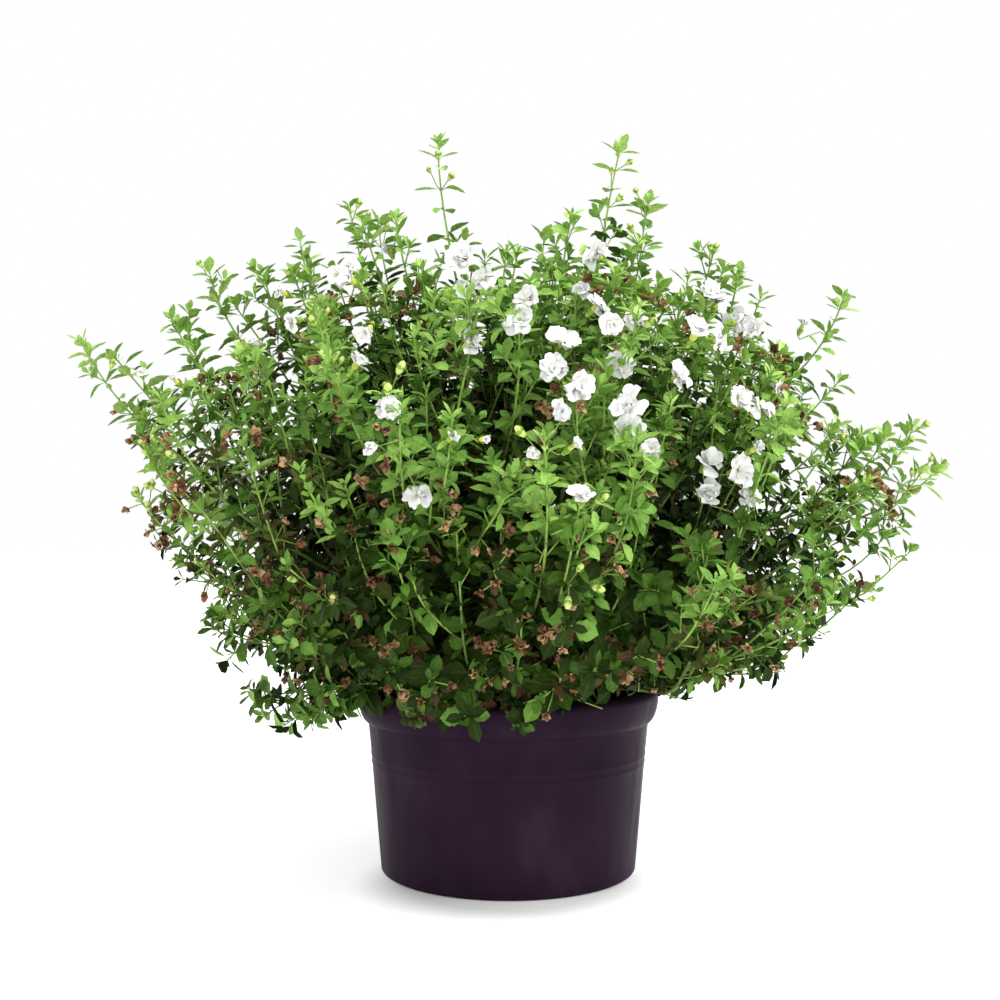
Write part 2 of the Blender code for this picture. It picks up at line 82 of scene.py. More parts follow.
def turned_shell(name, profile, steps):
    """A closed shell raised ring by ring from a first disc, from (radius, height) pairs."""
    bpy.ops.object.select_all(action="DESELECT")
    radius, height = profile[0]
    bpy.ops.mesh.primitive_circle_add(
        vertices=steps, radius=radius, fill_type="TRIFAN", location=(0.0, 0.0, height)
    )
    shell = bpy.context.object
    shell.name = shell.data.name = name
    bpy.ops.object.transform_apply(location=True, rotation=True, scale=True)
    bpy.ops.object.mode_set(mode="EDIT")
    select_verts(shell, lambda v: v.is_boundary)
    for next_radius, next_height in profile[1:]:
        rise = (0.0, 0.0, next_height - height)
        grow = next_radius / radius
        bpy.ops.mesh.extrude_region_move(TRANSFORM_OT_translate={"value": rise})
        bpy.ops.transform.resize(value=(grow, grow, 1.0), center_override=(0.0, 0.0, next_height))
        radius, height = next_radius, next_height
    bpy.ops.mesh.merge(type="CENTER")
    bpy.ops.mesh.select_all(action="SELECT")
    bpy.ops.mesh.normals_make_consistent(inside=False)
    bpy.ops.object.mode_set(mode="OBJECT")
    return shell


def wall_radius(height):
    """Outer radius of the pot's tapering wall."""
    share = height / (POT_HEIGHT - LIP_DEPTH)
    return POT_FOOT_RADIUS + share * (POT_NECK_RADIUS - POT_FOOT_RADIUS)


def pot_profile():
    """From the middle of the inside floor, up over the rolled lip and down to the underside."""
    inside = POT_NECK_RADIUS - WALL
    profile = [
        (0.02, FLOOR),
        (wall_radius(FLOOR) - WALL, FLOOR),
        (inside, POT_HEIGHT - LIP_DEPTH),
        (inside, POT_HEIGHT - 0.0012),
        (inside + 0.0004, POT_HEIGHT - 0.0003),
        (inside + 0.0012, POT_HEIGHT),
    ]
    proud = RIM_RADIUS - POT_NECK_RADIUS
    for step in range(13):
        turn = math.radians(84.0 - 14.5 * step)
        rise = LIP_ROUND if turn > 0.0 else LIP_DEPTH - LIP_ROUND
        height = POT_HEIGHT - LIP_ROUND + rise * math.sin(turn)
        profile.append((POT_NECK_RADIUS + proud * max(0.0, math.cos(turn)), height))
    profile[-1] = (POT_NECK_RADIUS + 0.0004, POT_HEIGHT - LIP_DEPTH)
    profile.append((POT_NECK_RADIUS, POT_HEIGHT - LIP_DEPTH - 0.0022))
    for ring in RING_HEIGHTS:
        for step, share in ((1.0, 0.0), (0.5, 0.7), (0.0, 1.0), (-0.5, 0.7), (-1.0, 0.0)):
            height = ring + step * RING_HALF_DEPTH
            profile.append((wall_radius(height) + share * RING_PROUD, height))
    for height in (0.060, 0.045, 0.030, 0.015, 0.007):
        profile.append((wall_radius(height), height))
    profile.append((wall_radius(FOOT_ROUND), FOOT_ROUND))
    profile.append((POT_FOOT_RADIUS - 0.3 * FOOT_ROUND, 0.4 * FOOT_ROUND))
    profile.append((POT_FOOT_RADIUS - FOOT_ROUND, 0.0))
    profile.append((0.02, 0.0))
    return profile


def set_inputs(node, values):
    """Sets a node's inputs by name."""
    for name, value in values.items():
        node.inputs[name].default_value = value


def new_finish(name, colour, roughness, specular=0.5):
    """A material with its colour and gloss set, and its node tree and surface for the details."""
    made = bpy.data.materials.new(name)
    made.use_nodes = True
    surface = made.node_tree.nodes["Principled BSDF"]
    set_inputs(surface, {"Base Color": (*colour, 1.0), "Roughness": roughness})
    set_inputs(surface, {"Specular IOR Level": specular})
    return made, made.node_tree, surface


def add_noise(tree, scale, detail, stretch=(1.0, 1.0, 1.0)):
    """A noise pattern on the piece's own coordinates, stretched along its axes."""
    place = tree.nodes.new("ShaderNodeTexCoord")
    shape = tree.nodes.new("ShaderNodeMapping")
    noise = tree.nodes.new("ShaderNodeTexNoise")
    set_inputs(shape, {"Scale": stretch})
    set_inputs(noise, {"Scale": scale, "Detail": detail})
    tree.links.new(place.outputs["Object"], shape.inputs["Vector"])
    tree.links.new(shape.outputs["Vector"], noise.inputs["Vector"])
    return noise.outputs["Fac"]


def add_bump(tree, surface, source, strength, distance):
    """Fine relief from a value."""
    bump = tree.nodes.new("ShaderNodeBump")
    set_inputs(bump, {"Strength": strength, "Distance": distance})
    tree.links.new(source, bump.inputs["Height"])
    tree.links.new(bump.outputs["Normal"], surface.inputs["Normal"])


def varied_finish(name, colour, roughness, noise, stops, bump=None, specular=0.5):
    """A material whose colour follows a noise pattern, from (position, colour) stops."""
    made, tree, surface = new_finish(name, colour, roughness, specular)
    pattern = add_noise(tree, *noise)
    tints = tree.nodes.new("ShaderNodeValToRGB")
    tints.name = "tints"
    bands = tints.color_ramp.elements
    while len(bands) < len(stops):
        bands.new(0.5)
    for band, (position, tint) in zip(bands, stops):
        band.position = position
        band.color = (*tint, 1.0)
    tree.links.new(pattern, tints.inputs["Fac"])
    tree.links.new(tints.outputs["Color"], surface.inputs["Base Color"])
    if bump:
        add_bump(tree, surface, pattern, *bump)
    return made


def settle(piece, material, nodes=()):
    """Dresses a finished piece, lets it ride with the plant and hides the solids it stands for."""
    piece.data.materials.clear()
    piece.data.materials.append(material)
    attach(piece, "root")
    if nodes:
        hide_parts(*nodes)


pot = turned_shell("pot_shell", pot_profile(), POT_STEPS)
slots = []
for number in range(DRAIN_SLOTS):
    turn = math.tau * (number + 0.5) / DRAIN_SLOTS
    away = POT_FOOT_RADIUS - DRAIN_INSET
    bpy.ops.mesh.primitive_cube_add(
        size=1.0,
        location=(away * math.cos(turn), away * math.sin(turn), 0.0),
        rotation=(0.0, 0.0, turn),
        scale=DRAIN_SIZE,
    )
    slots.append(bpy.context.object)
bpy.ops.object.select_all(action="DESELECT")
for slot in slots:
    slot.select_set(True)
bpy.context.view_layer.objects.active = slots[0]
bpy.ops.object.join()
cutter = bpy.context.object
bpy.ops.object.select_all(action="DESELECT")
pot.select_set(True)
bpy.context.view_layer.objects.active = pot
cut = pot.modifiers.new("Drain slots", "BOOLEAN")
cut.operation = "DIFFERENCE"
cut.object = cutter
bpy.ops.object.modifier_apply(modifier=cut.name)
bpy.data.objects.remove(cutter)
bpy.ops.object.shade_smooth_by_angle(angle=math.radians(38.0))

aubergine = varied_finish(
    "aubergine plastic",
    (0.0200, 0.0085, 0.0210),
    0.46,
    (34.0, 6.0, (1.0, 1.0, 0.6)),
    ((0.36, (0.0165, 0.0068, 0.0175)), (0.56, (0.0200, 0.0088, 0.0210)), (0.74, (0.028, 0.014, 0.028))),
    specular=0.08,
)
tree = aubergine.node_tree
surface = tree.nodes["Principled BSDF"]
surface.inputs["IOR"].default_value = 1.3
gloss = tree.nodes.new("ShaderNodeMapRange")
set_inputs(gloss, {"From Min": 0.35, "From Max": 0.75, "To Min": 0.37, "To Max": 0.56})
tree.links.new(add_noise(tree, 120.0, 5.0, (1.0, 1.0, 0.12)), gloss.inputs["Value"])
tree.links.new(gloss.outputs["Result"], surface.inputs["Roughness"])
add_bump(tree, surface, add_noise(tree, 1400.0, 2.0), 0.12, 0.0002)
settle(pot, aubergine, ["pot"])

# The pot is filled with dark moist peat to a thumb's width below the rim. Its top is loose and
# crumbly, with a few pale fibres and lighter crumbs lying on it.
PEAT_TOP = 0.098
PEAT_EDGE = 0.094
PEAT_FLAT = 0.031
PEAT_STEP = 0.0051
SEAT_GAP = 0.0003
CRUMBS = 420
FIBRES = 60


def piece_of(name, points, faces, uv=None):
    """A piece from an array of points and one of triangles, with a UV pair for each corner."""
    mesh = bpy.data.meshes.new(name)
    mesh.vertices.add(len(points))
    mesh.vertices.foreach_set("co", np.asarray(points, np.float32).ravel())
    mesh.loops.add(faces.size)
    mesh.loops.foreach_set("vertex_index", faces.astype(np.int32).ravel())
    mesh.polygons.add(len(faces))
    mesh.polygons.foreach_set("loop_start", np.arange(0, faces.size, 3, dtype=np.int32))
    mesh.update(calc_edges=True)
    if uv is not None:
        mesh.uv_layers.new(name="blade").data.foreach_set("uv", uv.astype(np.float32).ravel())
    mesh.shade_smooth()
    piece = bpy.data.objects.new(name, mesh)
    bpy.context.scene.collection.objects.link(piece)
    return piece


def take_master(piece):
    """A finished master's points, triangles and UV pairs as arrays. The master itself goes."""
    bpy.ops.object.mode_set(mode="EDIT")
    bpy.ops.mesh.select_all(action="SELECT")
    bpy.ops.mesh.quads_convert_to_tris()
    bpy.ops.object.mode_set(mode="OBJECT")
    mesh = piece.data
    points = np.array([v.co for v in mesh.vertices])
    faces = np.array([p.vertices[:] for p in mesh.polygons])
    uv = np.zeros((faces.size, 2))
    if mesh.uv_layers:
        uv = np.array([pair.uv for pair in mesh.uv_layers[0].data])
    bpy.data.objects.remove(piece)
    return points, faces, uv


def copies_of(master, placed):
    """Copies of a master, each from its frame of (place, x, y, z) and its size along x, y and z."""
    points, faces, uv = master
    frames, sizes = zip(*placed)
    count = len(frames)
    frames = np.asarray(frames, float).reshape(count, 4, 3)
    local = points[None, :, :] * np.asarray(sizes, float).reshape(count, 1, 3)
    placed = frames[:, None, 0, :] + np.einsum("nvk,nkj->nvj", local, frames[:, 1:, :])
    shift = (np.arange(count) * len(points))[:, None, None]
    triangles = (faces[None, :, :] + shift).reshape(-1, 3)
    return placed.reshape(-1, 3), triangles, np.tile(uv, (count, 1))


def joined(parts):
    """Several (points, triangles, UV pairs) as one."""
    shift, points, faces, uv = 0, [], [], []
    for some_points, some_faces, some_uv in parts:
        points.append(some_points)
        faces.append(some_faces + shift)
        uv.append(some_uv)
        shift += len(some_points)
    return np.concatenate(points), np.concatenate(faces), np.concatenate(uv)


peat_rings = [(0.012, PEAT_TOP)]
for ring in range(1, 15):
    radius = 0.012 + ring * PEAT_STEP
    lower = max(0.0, (radius - PEAT_FLAT) / (wall_radius(PEAT_EDGE) - PEAT_FLAT))
    peat_rings.append((radius, PEAT_TOP - lower * (PEAT_TOP - PEAT_EDGE)))
for height, lift in ((PEAT_EDGE, 0.0), (0.07, 0.0), (FLOOR, SEAT_GAP)):
    peat_rings.append((wall_radius(height) - WALL - SEAT_GAP, height + lift))
peat_rings.append((0.02, FLOOR + SEAT_GAP))
peat = turned_shell("peat_bed", peat_rings, 96)
lumps = bpy.data.textures.new("peat lumps", "CLOUDS")
lumps.noise_scale = 0.007
lumps.noise_depth = 3
top = peat.vertex_groups.new(name="top")
top.add([v.index for v in peat.data.vertices if v.co.z > PEAT_EDGE - 0.001], 1.0, "REPLACE")
rough = peat.modifiers.new("Lumps", "DISPLACE")
rough.texture = lumps
rough.vertex_group = "top"
rough.direction = "Z"
rough.mid_level = 0.5
rough.strength = 0.0032
bpy.ops.object.modifier_apply(modifier=rough.name)
bpy.ops.object.shade_smooth_by_angle(angle=math.radians(50.0))

moist_peat = varied_finish(
    "moist peat",
    (0.030, 0.019, 0.012),
    0.93,
    (420.0, 6.0),
    ((0.34, (0.012, 0.007, 0.005)), (0.52, (0.035, 0.021, 0.013)), (0.72, (0.085, 0.055, 0.034))),
    (0.8, 0.0015),
)
settle(peat, moist_peat, ["peat"])

bpy.ops.mesh.primitive_ico_sphere_add(subdivisions=1, radius=1.0)
crumb = bpy.context.object
bpy.ops.object.mode_set(mode="EDIT")
bpy.ops.mesh.select_all(action="SELECT")
bpy.ops.transform.vertex_random(offset=0.28, seed=3)
bpy.ops.object.mode_set(mode="OBJECT")
crumb = take_master(crumb)

draw = random.Random("peat crumbs")
scattered = []
for number in range(CRUMBS + FIBRES):
    away = 0.016 + 0.066 * math.sqrt(draw.random())
    turn = draw.uniform(0.0, math.tau)
    height = PEAT_TOP - max(0.0, away - PEAT_FLAT) / 0.053 * (PEAT_TOP - PEAT_EDGE)
    spin = Matrix.Rotation(draw.uniform(0.0, math.tau), 3, "Z")
    spin = spin @ Matrix.Rotation(draw.uniform(-0.5, 0.5), 3, "X")
    place = (away * math.cos(turn), away * math.sin(turn), height + 0.0004)
    if number < CRUMBS:
        size = draw.uniform(0.0006, 0.0019)
        spans = (size, size * draw.uniform(0.6, 1.0), size * draw.uniform(0.4, 0.8))
    else:
        spans = (0.00022, draw.uniform(0.004, 0.009), 0.00022)
    scattered.append(((place, spin.col[0], spin.col[1], spin.col[2]), spans))
crumbs = piece_of("peat_crumbs", *copies_of(crumb, scattered))
crumb_stops = ((0.4, (0.02, 0.012, 0.008)), (0.68, (0.12, 0.08, 0.05)))
loose_peat = varied_finish("loose peat", (0.05, 0.032, 0.02), 0.95, (260.0, 3.0), crumb_stops)
settle(crumbs, loose_peat)

# One short woody foot stands in the peat, and half-woody boughs fan out from the knob on it. Its
# bark is fissured lengthwise, and each bough has a slight swelling where leaves once stood.
SEED = 41
HEART = Vector((0.0, 0.0, POT_HEIGHT + 0.008))
KNOB_RADIUS = 0.0140
NECK_RADIUS = 0.0085
FLARE_RADIUS = 0.0155
BOUGH_BASE_RADIUS = 0.0019
BOUGH_TIP_RADIUS = 0.0015
LOW_ANGLE, LOW_REACH = -14.0, 0.135
HIGH_ANGLE, HIGH_REACH = 37.0, 0.325
LEFT_HIGHER = 7.0
REACH_SPREAD = (0.95, 1.02)
END_LEAF = 0.034
RINGS = (
    ("flank", 8, 0.0, 20.0, 26.0, 0.22),
    ("shoulder", 7, 12.0, 42.0, 47.0, 0.25),
    ("upper", 5, 54.0, 62.0, 66.0, 0.28),
    ("top", 2, 0.0, 80.0, 83.0, 0.32),
)
RING_JITTER = 3.0
SKIRT_COUNT = 8
SKIRT_AZIMUTH = 22.5
SKIRT_BEND_RADIUS = 0.103
SKIRT_BEND_FALL = 0.003
SKIRT_REACH = 0.168
SKIRT_SPREAD = (0.93, 1.05)
SKIRT_TIP_ANGLE = -1.0
DROOP_AZIMUTH = 200.0
DROOP_ANGLE = 4.0


def toward(azimuth, angle):
    """Unit vector at an azimuth and an angle above the horizon, in degrees."""
    a, e = math.radians(azimuth), math.radians(angle)
    return Vector((math.cos(a) * math.cos(e), math.sin(a) * math.cos(e), math.sin(e)))


def reach_at(azimuth, angle):
    """How far the crown's outline lies from the heart in this direction."""
    angle -= LEFT_HIGHER * max(0.0, -math.cos(math.radians(azimuth)))
    share = min(1.0, max(0.0, (angle - LOW_ANGLE) / (HIGH_ANGLE - LOW_ANGLE)))
    return LOW_REACH + (HIGH_REACH - LOW_REACH) * share * share * (3.0 - 2.0 * share)


def plan_mass(ring, number, count, first):
    """Name, azimuth, tilt and random draws of one mass, as the solids have them."""
    name = f"{ring}_{number + 1}"
    chance = random.Random(f"{SEED} {name}")
    azimuth = first + 360.0 * number / count + chance.uniform(-RING_JITTER, RING_JITTER)
    return {
        "name": name,
        "azimuth": azimuth,
        "lift": chance.uniform(-RING_JITTER, RING_JITTER) / 2,
        "chance": chance,
    }


masses = []
for number in range(SKIRT_COUNT):
    mass = plan_mass("skirt", number, SKIRT_COUNT, SKIRT_AZIMUTH)
    droop = DROOP_ANGLE * math.cos(math.radians(mass["azimuth"] - DROOP_AZIMUTH))
    tip = SKIRT_TIP_ANGLE + mass["lift"] - droop
    bend = HEART + toward(mass["azimuth"], 0.0) * SKIRT_BEND_RADIUS
    bend.z -= SKIRT_BEND_FALL
    start = HEART + (bend - HEART).normalized() * (KNOB_RADIUS + SEAT_GAP)
    far = SKIRT_REACH * mass["chance"].uniform(*SKIRT_SPREAD)
    mass["axis"] = toward(mass["azimuth"], tip / 2)
    mass["line"] = [start, bend, HEART + toward(mass["azimuth"], tip) * far]
    masses.append(mass)
for ring, count, first, base, tip, bough_share in RINGS:
    for number in range(count):
        mass = plan_mass(ring, number, count, first)
        low, high = base + mass["lift"], tip + mass["lift"]
        reach = reach_at(mass["azimuth"], high) * mass["chance"].uniform(*REACH_SPREAD) - END_LEAF
        start = KNOB_RADIUS + SEAT_GAP
        mass["axis"] = toward(mass["azimuth"], (low + high) / 2)
        mass["line"] = []
        for share in (0.0, bough_share, (1.0 + bough_share) / 2, 1.0):
            way = toward(mass["azimuth"], low + share * (high - low))
            mass["line"].append(HEART + way * (start + share * (reach - start)))
        masses.append(mass)


def smooth_path(points, count):
    """A Bezier path through the first and last of four points, as an array."""
    t = np.linspace(0.0, 1.0, count)[:, None]
    a, b, c, d = (np.array(p) for p in points)
    return (1 - t) ** 3 * a + 3 * t * (1 - t) ** 2 * b + 3 * t * t * (1 - t) * c + t**3 * d


def tube(path, radii, sides, relief=0.0, turn=0.0):
    """A closed tapering tube along a path, with its rim pushed in and out for ridged bark."""
    path = np.asarray(path, float)
    along = np.gradient(path, axis=0)
    along /= np.linalg.norm(along, axis=1)[:, None]
    side = np.cross(along[0], (0.31, 0.53, 0.79))
    rings = []
    for number, (point, way, radius) in enumerate(zip(path, along, radii)):
        side = side - way * side.dot(way)
        side /= np.linalg.norm(side)
        other = np.cross(way, side)
        angle = np.linspace(0.0, math.tau, sides, endpoint=False) + turn * number
        ridge = 1.0 + relief * np.cos(angle * (sides // 2)) * (1.0 + 0.6 * math.sin(2.1 * number))
        spread = np.cos(angle)[:, None] * side + np.sin(angle)[:, None] * other
        rings.append(point + spread * (radius * ridge)[:, None])
    points = np.concatenate([*rings, path[:1], path[-1:]])
    faces = []
    last = len(path) - 1
    around = np.arange(sides)
    beside = (around + 1) % sides
    for number in range(last):
        low, high = number * sides, (number + 1) * sides
        faces.append(np.stack([low + around, low + beside, high + beside], 1))
        faces.append(np.stack([low + around, high + beside, high + around], 1))
    first_end, last_end = len(points) - 2, len(points) - 1
    faces.append(np.stack([beside, around, np.full(sides, first_end)], 1))
    top = last * sides
    faces.append(np.stack([top + around, top + beside, np.full(sides, last_end)], 1))
    faces = np.concatenate(faces)
    return points, faces, np.zeros((faces.size, 2))


foot_rings = [(0.003, HEART.z + KNOB_RADIUS)]
for angle in (74.0, 58.0, 42.0, 26.0, 10.0, -6.0, -20.0, -34.0):
    turn = math.radians(angle)
    foot_rings.append((KNOB_RADIUS * math.cos(turn), HEART.z + KNOB_RADIUS * math.sin(turn)))
foot_rings += [
    (NECK_RADIUS, HEART.z - 0.9 * KNOB_RADIUS),
    (NECK_RADIUS + 0.001, HEART.z - 1.1 * KNOB_RADIUS),
    (NECK_RADIUS + 0.003, PEAT_TOP + 0.005),
    (FLARE_RADIUS, PEAT_TOP + SEAT_GAP),
    (0.003, PEAT_TOP + SEAT_GAP),
]
foot = turned_shell("woody_foot", foot_rings, 60)
for v in foot.data.vertices:
    radius = math.hypot(v.co.x, v.co.y)
    if PEAT_TOP + 0.001 < v.co.z and radius > 0.004:
        turn = math.atan2(v.co.y, v.co.x)
        flute = 0.09 * math.sin(11.0 * turn + 60.0 * v.co.z) + 0.05 * math.sin(23.0 * turn)
        v.co.x *= 1.0 - 0.10 + flute
        v.co.y *= 1.0 - 0.10 + flute
foot.data.shade_smooth()

bough_tubes = []
bough_nodes = []
for mass in masses[SKIRT_COUNT:]:
    root, tip = mass["line"][0], mass["line"][1]
    count = 17
    line = [root.lerp(tip, i / (count - 1)) for i in range(count)]
    radii = []
    for i in range(count):
        swell = 0.14 if i % 5 == 3 else 0.0
        share = i / (count - 1)
        radii.append(
            (BOUGH_BASE_RADIUS + share * (BOUGH_TIP_RADIUS - BOUGH_BASE_RADIUS)) * (1.0 + swell)
        )
    bough_tubes.append(tube(line, radii, 10, relief=0.07, turn=0.05))
    bough_nodes.append(f"bough_{mass['name']}")
boughs = piece_of("boughs", *joined(bough_tubes))


def bark_finish(name, colours, scale):
    """Dull bark with darker fissures and paler ridges."""
    stops = tuple(zip((0.38, 0.54, 0.70), colours))
    return varied_finish(name, colours[1], 0.85, (scale, 8.0, (1.0, 1.0, 0.35)), stops, (0.7, 0.0008))


old_bark = bark_finish(
    "old bark", ((0.035, 0.022, 0.013), (0.12, 0.08, 0.045), (0.22, 0.17, 0.10)), 420.0
)
green_bark = bark_finish(
    "half-woody bark", ((0.05, 0.045, 0.018), (0.12, 0.13, 0.045), (0.20, 0.23, 0.08)), 520.0
)
settle(foot, old_bark, ["foot"])
settle(boughs, green_bark, bough_nodes)

# Each mass's bough forks into branches, and these into the shoots that make the outline. Leaves
# stand on them in pairs, each pair across the one before it, with smaller leaves and short side
# shoots between leaf and stem. The stems are green at the tip and browner where they are old.
CAMERA_PLACE = Vector((-0.0052, -0.9, 0.232))
CAMERA_AIM = Vector((-0.0052, 0.0, 0.232))
CAMERA_LENS = 51.1
CAMERA_SENSOR = 36.0
PICTURE_SIDE = 1000.0
BRANCHES = 96
SHOOTS_EACH = (4, 6)
SPREAD = 0.13
THIN_BEYOND = 0.12
THIN_CHANCE = (0.46, 0.60)
LIFT = (0.0, 26.0)
LOWEST = math.sin(math.radians(-9.0))
GOLDEN_TURN = 137.50776
PATH_STEPS = 15
TIP_LEAF_REACH = 0.006
HANG_DEPTH = 0.030
LOW_START = 0.165
LOW_SLOPE = (0.90, 1.10)
TUFT_HALF_WIDTH = 26.0
NODE_GAPS = (1.3, 2.3, 4.2, 7.0, 9.4, 11.0, 12.2, 13.0, 13.8, 14.4, 15.0, 15.6)
LEAF_LENGTHS = (6.4, 10.0, 12.2, 13.2, 13.9, 14.3, 14.6, 14.8, 15.0, 15.2, 15.2, 15.2)
LEAF_LEANS = (22.0, 42.0, 58.0, 67.0, 73.0, 77.0, 80.0, 83.0, 86.0, 88.0, 90.0, 92.0)
OUTLINE_TIPS = (
    (75, 338), (108, 352), (166, 314), (204, 266), (258, 266), (296, 234), (346, 200), (393, 210),
    (437, 136), (506, 242), (573, 206), (622, 140), (648, 196), (716, 248), (766, 290), (850, 291),
    (846, 375), (921, 424), (948, 463), (918, 550), (882, 590), (148, 440), (160, 500), (186, 560),
    (205, 610), (240, 690), (300, 722), (835, 634), (790, 672), (359, 212), (303, 250), (229, 298),
    (288, 264), (272, 300), (464, 232), (517, 246), (545, 230), (553, 256), (642, 232), (692, 270),
    (741, 272), (685, 289), (800, 399), (869, 432), (893, 434), (893, 534), (153, 389), (130, 412),
    (484, 250), (330, 262), (588, 250), (664, 280), (182, 322), (420, 262), (376, 216), (728, 262),
)
SKYLINE = (
    (60, 400), (130, 384), (160, 372), (195, 350), (230, 330), (300, 296), (340, 270), (400, 272),
    (460, 272), (520, 282), (560, 268), (610, 260), (650, 270), (675, 312), (700, 300), (750, 312),
    (780, 330), (800, 396), (850, 420), (880, 450), (920, 470), (950, 500),
)
TUFTS = ((526, 728, 0.030), (447, 714, 0.022), (408, 724, 0.030))
HANGING_TIPS = (
    (262, 702, -0.02), (284, 726, -0.04), (312, 722, -0.06), (338, 706, -0.07), (226, 662, -0.02),
    (296, 700, -0.08), (322, 690, -0.09),
)
FRONT_TIPS = (
    (426, 392, -0.16), (392, 470, -0.20), (300, 402, -0.12), (352, 520, -0.19), (455, 520, -0.20),
    (542, 500, -0.20), (600, 545, -0.20), (498, 470, -0.19), (640, 515, -0.18), (700, 545, -0.16),
    (322, 470, -0.16), (410, 560, -0.20), (520, 588, -0.19), (575, 470, -0.18), (735, 600, -0.13),
    (262, 520, -0.12), (455, 430, -0.18), (662, 430, -0.16), (770, 520, -0.10), (232, 590, -0.06),
)


def sight_line(x, y):
    """Direction in which the camera sees a point of the picture."""
    ahead = (CAMERA_AIM - CAMERA_PLACE).normalized()
    right = Vector((1.0, 0.0, 0.0))
    focal = CAMERA_LENS / CAMERA_SENSOR * PICTURE_SIDE
    sideways = (x - PICTURE_SIDE / 2) / focal
    return ahead + right * sideways + right.cross(ahead) * ((PICTURE_SIDE / 2 - y) / focal)


def seen_place(x, y, behind):
    """The place that a picture point shows, at a distance behind the pot's axis."""
    way = sight_line(x, y)
    return CAMERA_PLACE + way * ((behind - CAMERA_PLACE.y) / way.y)


def seen_at(place):
    """Where the camera sees a place: its picture point."""
    off = Vector(place) - CAMERA_PLACE
    focal = CAMERA_LENS / CAMERA_SENSOR * PICTURE_SIDE
    return PICTURE_SIDE / 2 + focal * off.x / off.y, PICTURE_SIDE / 2 - focal * off.z / off.y


def hang_limit(place):
    """How low a shoot may hang at this place: the peat inside the pot, a line past the rim outside."""
    across = math.hypot(place[0], place[1])
    if across < RIM_RADIUS + 0.002:
        return POT_HEIGHT + 0.001
    droop = max(0.0, toward(DROOP_AZIMUTH, 0.0).dot(Vector((place[0], place[1], 0.0)) / across))
    slope = LOW_SLOPE[0] + LOW_SLOPE[1] * droop
    limit = POT_HEIGHT + 0.004 - HANG_DEPTH * droop**2 + slope * max(0.0, across - LOW_START)
    if place[1] < -0.07:
        x = seen_at(place)[0]
        falls = (depth * (1.0 - abs(x - middle) / TUFT_HALF_WIDTH) for middle, _, depth in TUFTS)
        limit -= max(0.0, *falls)
    return limit


def below_skyline(place):
    """How far below the crown's skyline the camera sees a place, in picture points."""
    x, y = seen_at(place)
    return y - np.interp(x, *zip(*SKYLINE))


def under_skyline(tip, rise):
    """The tip, drawn in towards the heart until it stands below the crown's skyline."""
    for _ in range(16):
        if below_skyline((tip.x, -abs(tip.y), tip.z)) > rise:
            break
        tip = HEART + (tip - HEART) * 0.97
    return tip


def blade(name, rows, columns, keel, notch=0.0, ruffle=0.0):
    """A thin blade from its stalk at the origin to a tip on +Y, from (way along, half width, height)."""
    bpy.ops.object.select_all(action="DESELECT")
    bpy.ops.mesh.primitive_grid_add(
        x_subdivisions=columns, y_subdivisions=len(rows) - 1, size=2.0, calc_uvs=True
    )
    made = bpy.context.object
    made.name = name
    steps = len(rows) - 1
    lines = [[] for _ in rows]
    for v in made.data.vertices:
        lines[round((v.co.y + 1.0) / 2.0 * steps)].append(v.index)
    bpy.ops.object.mode_set(mode="EDIT")
    for number, (way, half, height) in enumerate(rows):
        y = -1.0 + 2.0 * number / steps
        select_verts(made, lambda v: v.index in lines[number])
        bpy.ops.transform.resize(value=(half, 1.0, 1.0), center_override=(0.0, y, 0.0))
        bpy.ops.transform.translate(value=(0.0, way - y, height))
        select_verts(made, lambda v: v.index in lines[number] and abs(v.co.x) < 0.3 * half)
        bpy.ops.transform.translate(value=(0.0, 0.0, -keel * half))
        if number == steps:
            bpy.ops.transform.translate(value=(0.0, -notch, 0.0))
        if ruffle and number > 1:
            select_verts(made, lambda v: v.index in lines[number] and v.co.x > 0.3 * half)
            bpy.ops.transform.translate(value=(0.0, 0.0, ruffle * half * (-1.0) ** number))
    bpy.ops.mesh.select_all(action="SELECT")
    bpy.ops.mesh.remove_doubles(threshold=0.0001)
    bpy.ops.object.mode_set(mode="OBJECT")
    return take_master(made)


LEAF_SHAPES = {
    "toothed": (
        (0.0, 0.035, 0.0), (0.17, 0.050, 0.05), (0.32, 0.200, 0.075), (0.46, 0.300, 0.075),
        (0.54, 0.262, 0.065), (0.66, 0.280, 0.04), (0.79, 0.205, 0.0), (1.0, 0.0, -0.09),
    ),
    "curled": (
        (0.0, 0.035, 0.0), (0.18, 0.055, 0.07), (0.34, 0.185, 0.10), (0.48, 0.250, 0.07),
        (0.57, 0.205, 0.02), (0.68, 0.220, -0.05), (0.80, 0.110, -0.15), (0.86, 0.0, -0.24),
    ),
    "slim": (
        (0.0, 0.03, 0.0), (0.3, 0.105, 0.05), (0.55, 0.165, 0.045), (0.72, 0.130, 0.02), (1.0, 0.0, -0.06)
    ),
    "small": (
        (0.0, 0.05, 0.0), (0.28, 0.17, 0.04), (0.60, 0.28, 0.04), (0.86, 0.16, 0.0), (1.0, 0.0, -0.05)
    ),
    "shaded": ((0.0, 0.05, 0.0), (0.40, 0.26, 0.06), (0.70, 0.27, 0.03), (1.0, 0.0, -0.10)),
}
LEAF_KEELS = {"toothed": 0.30, "curled": 0.50, "slim": 0.35, "small": 0.35, "shaded": 0.35}
leaf_kinds = {kind: blade(kind, rows, 2, LEAF_KEELS[kind]) for kind, rows in LEAF_SHAPES.items()}


def holder_of(way):
    """The mass whose space a direction from the heart lies in."""
    return max(masses, key=lambda mass: mass["axis"].dot(way))


def crown_reach(way):
    """How far the crown's outline lies from the heart along a unit direction."""
    azimuth = math.degrees(math.atan2(way.y, way.x))
    return reach_at(azimuth, math.degrees(math.asin(max(-1.0, min(1.0, way.z)))))


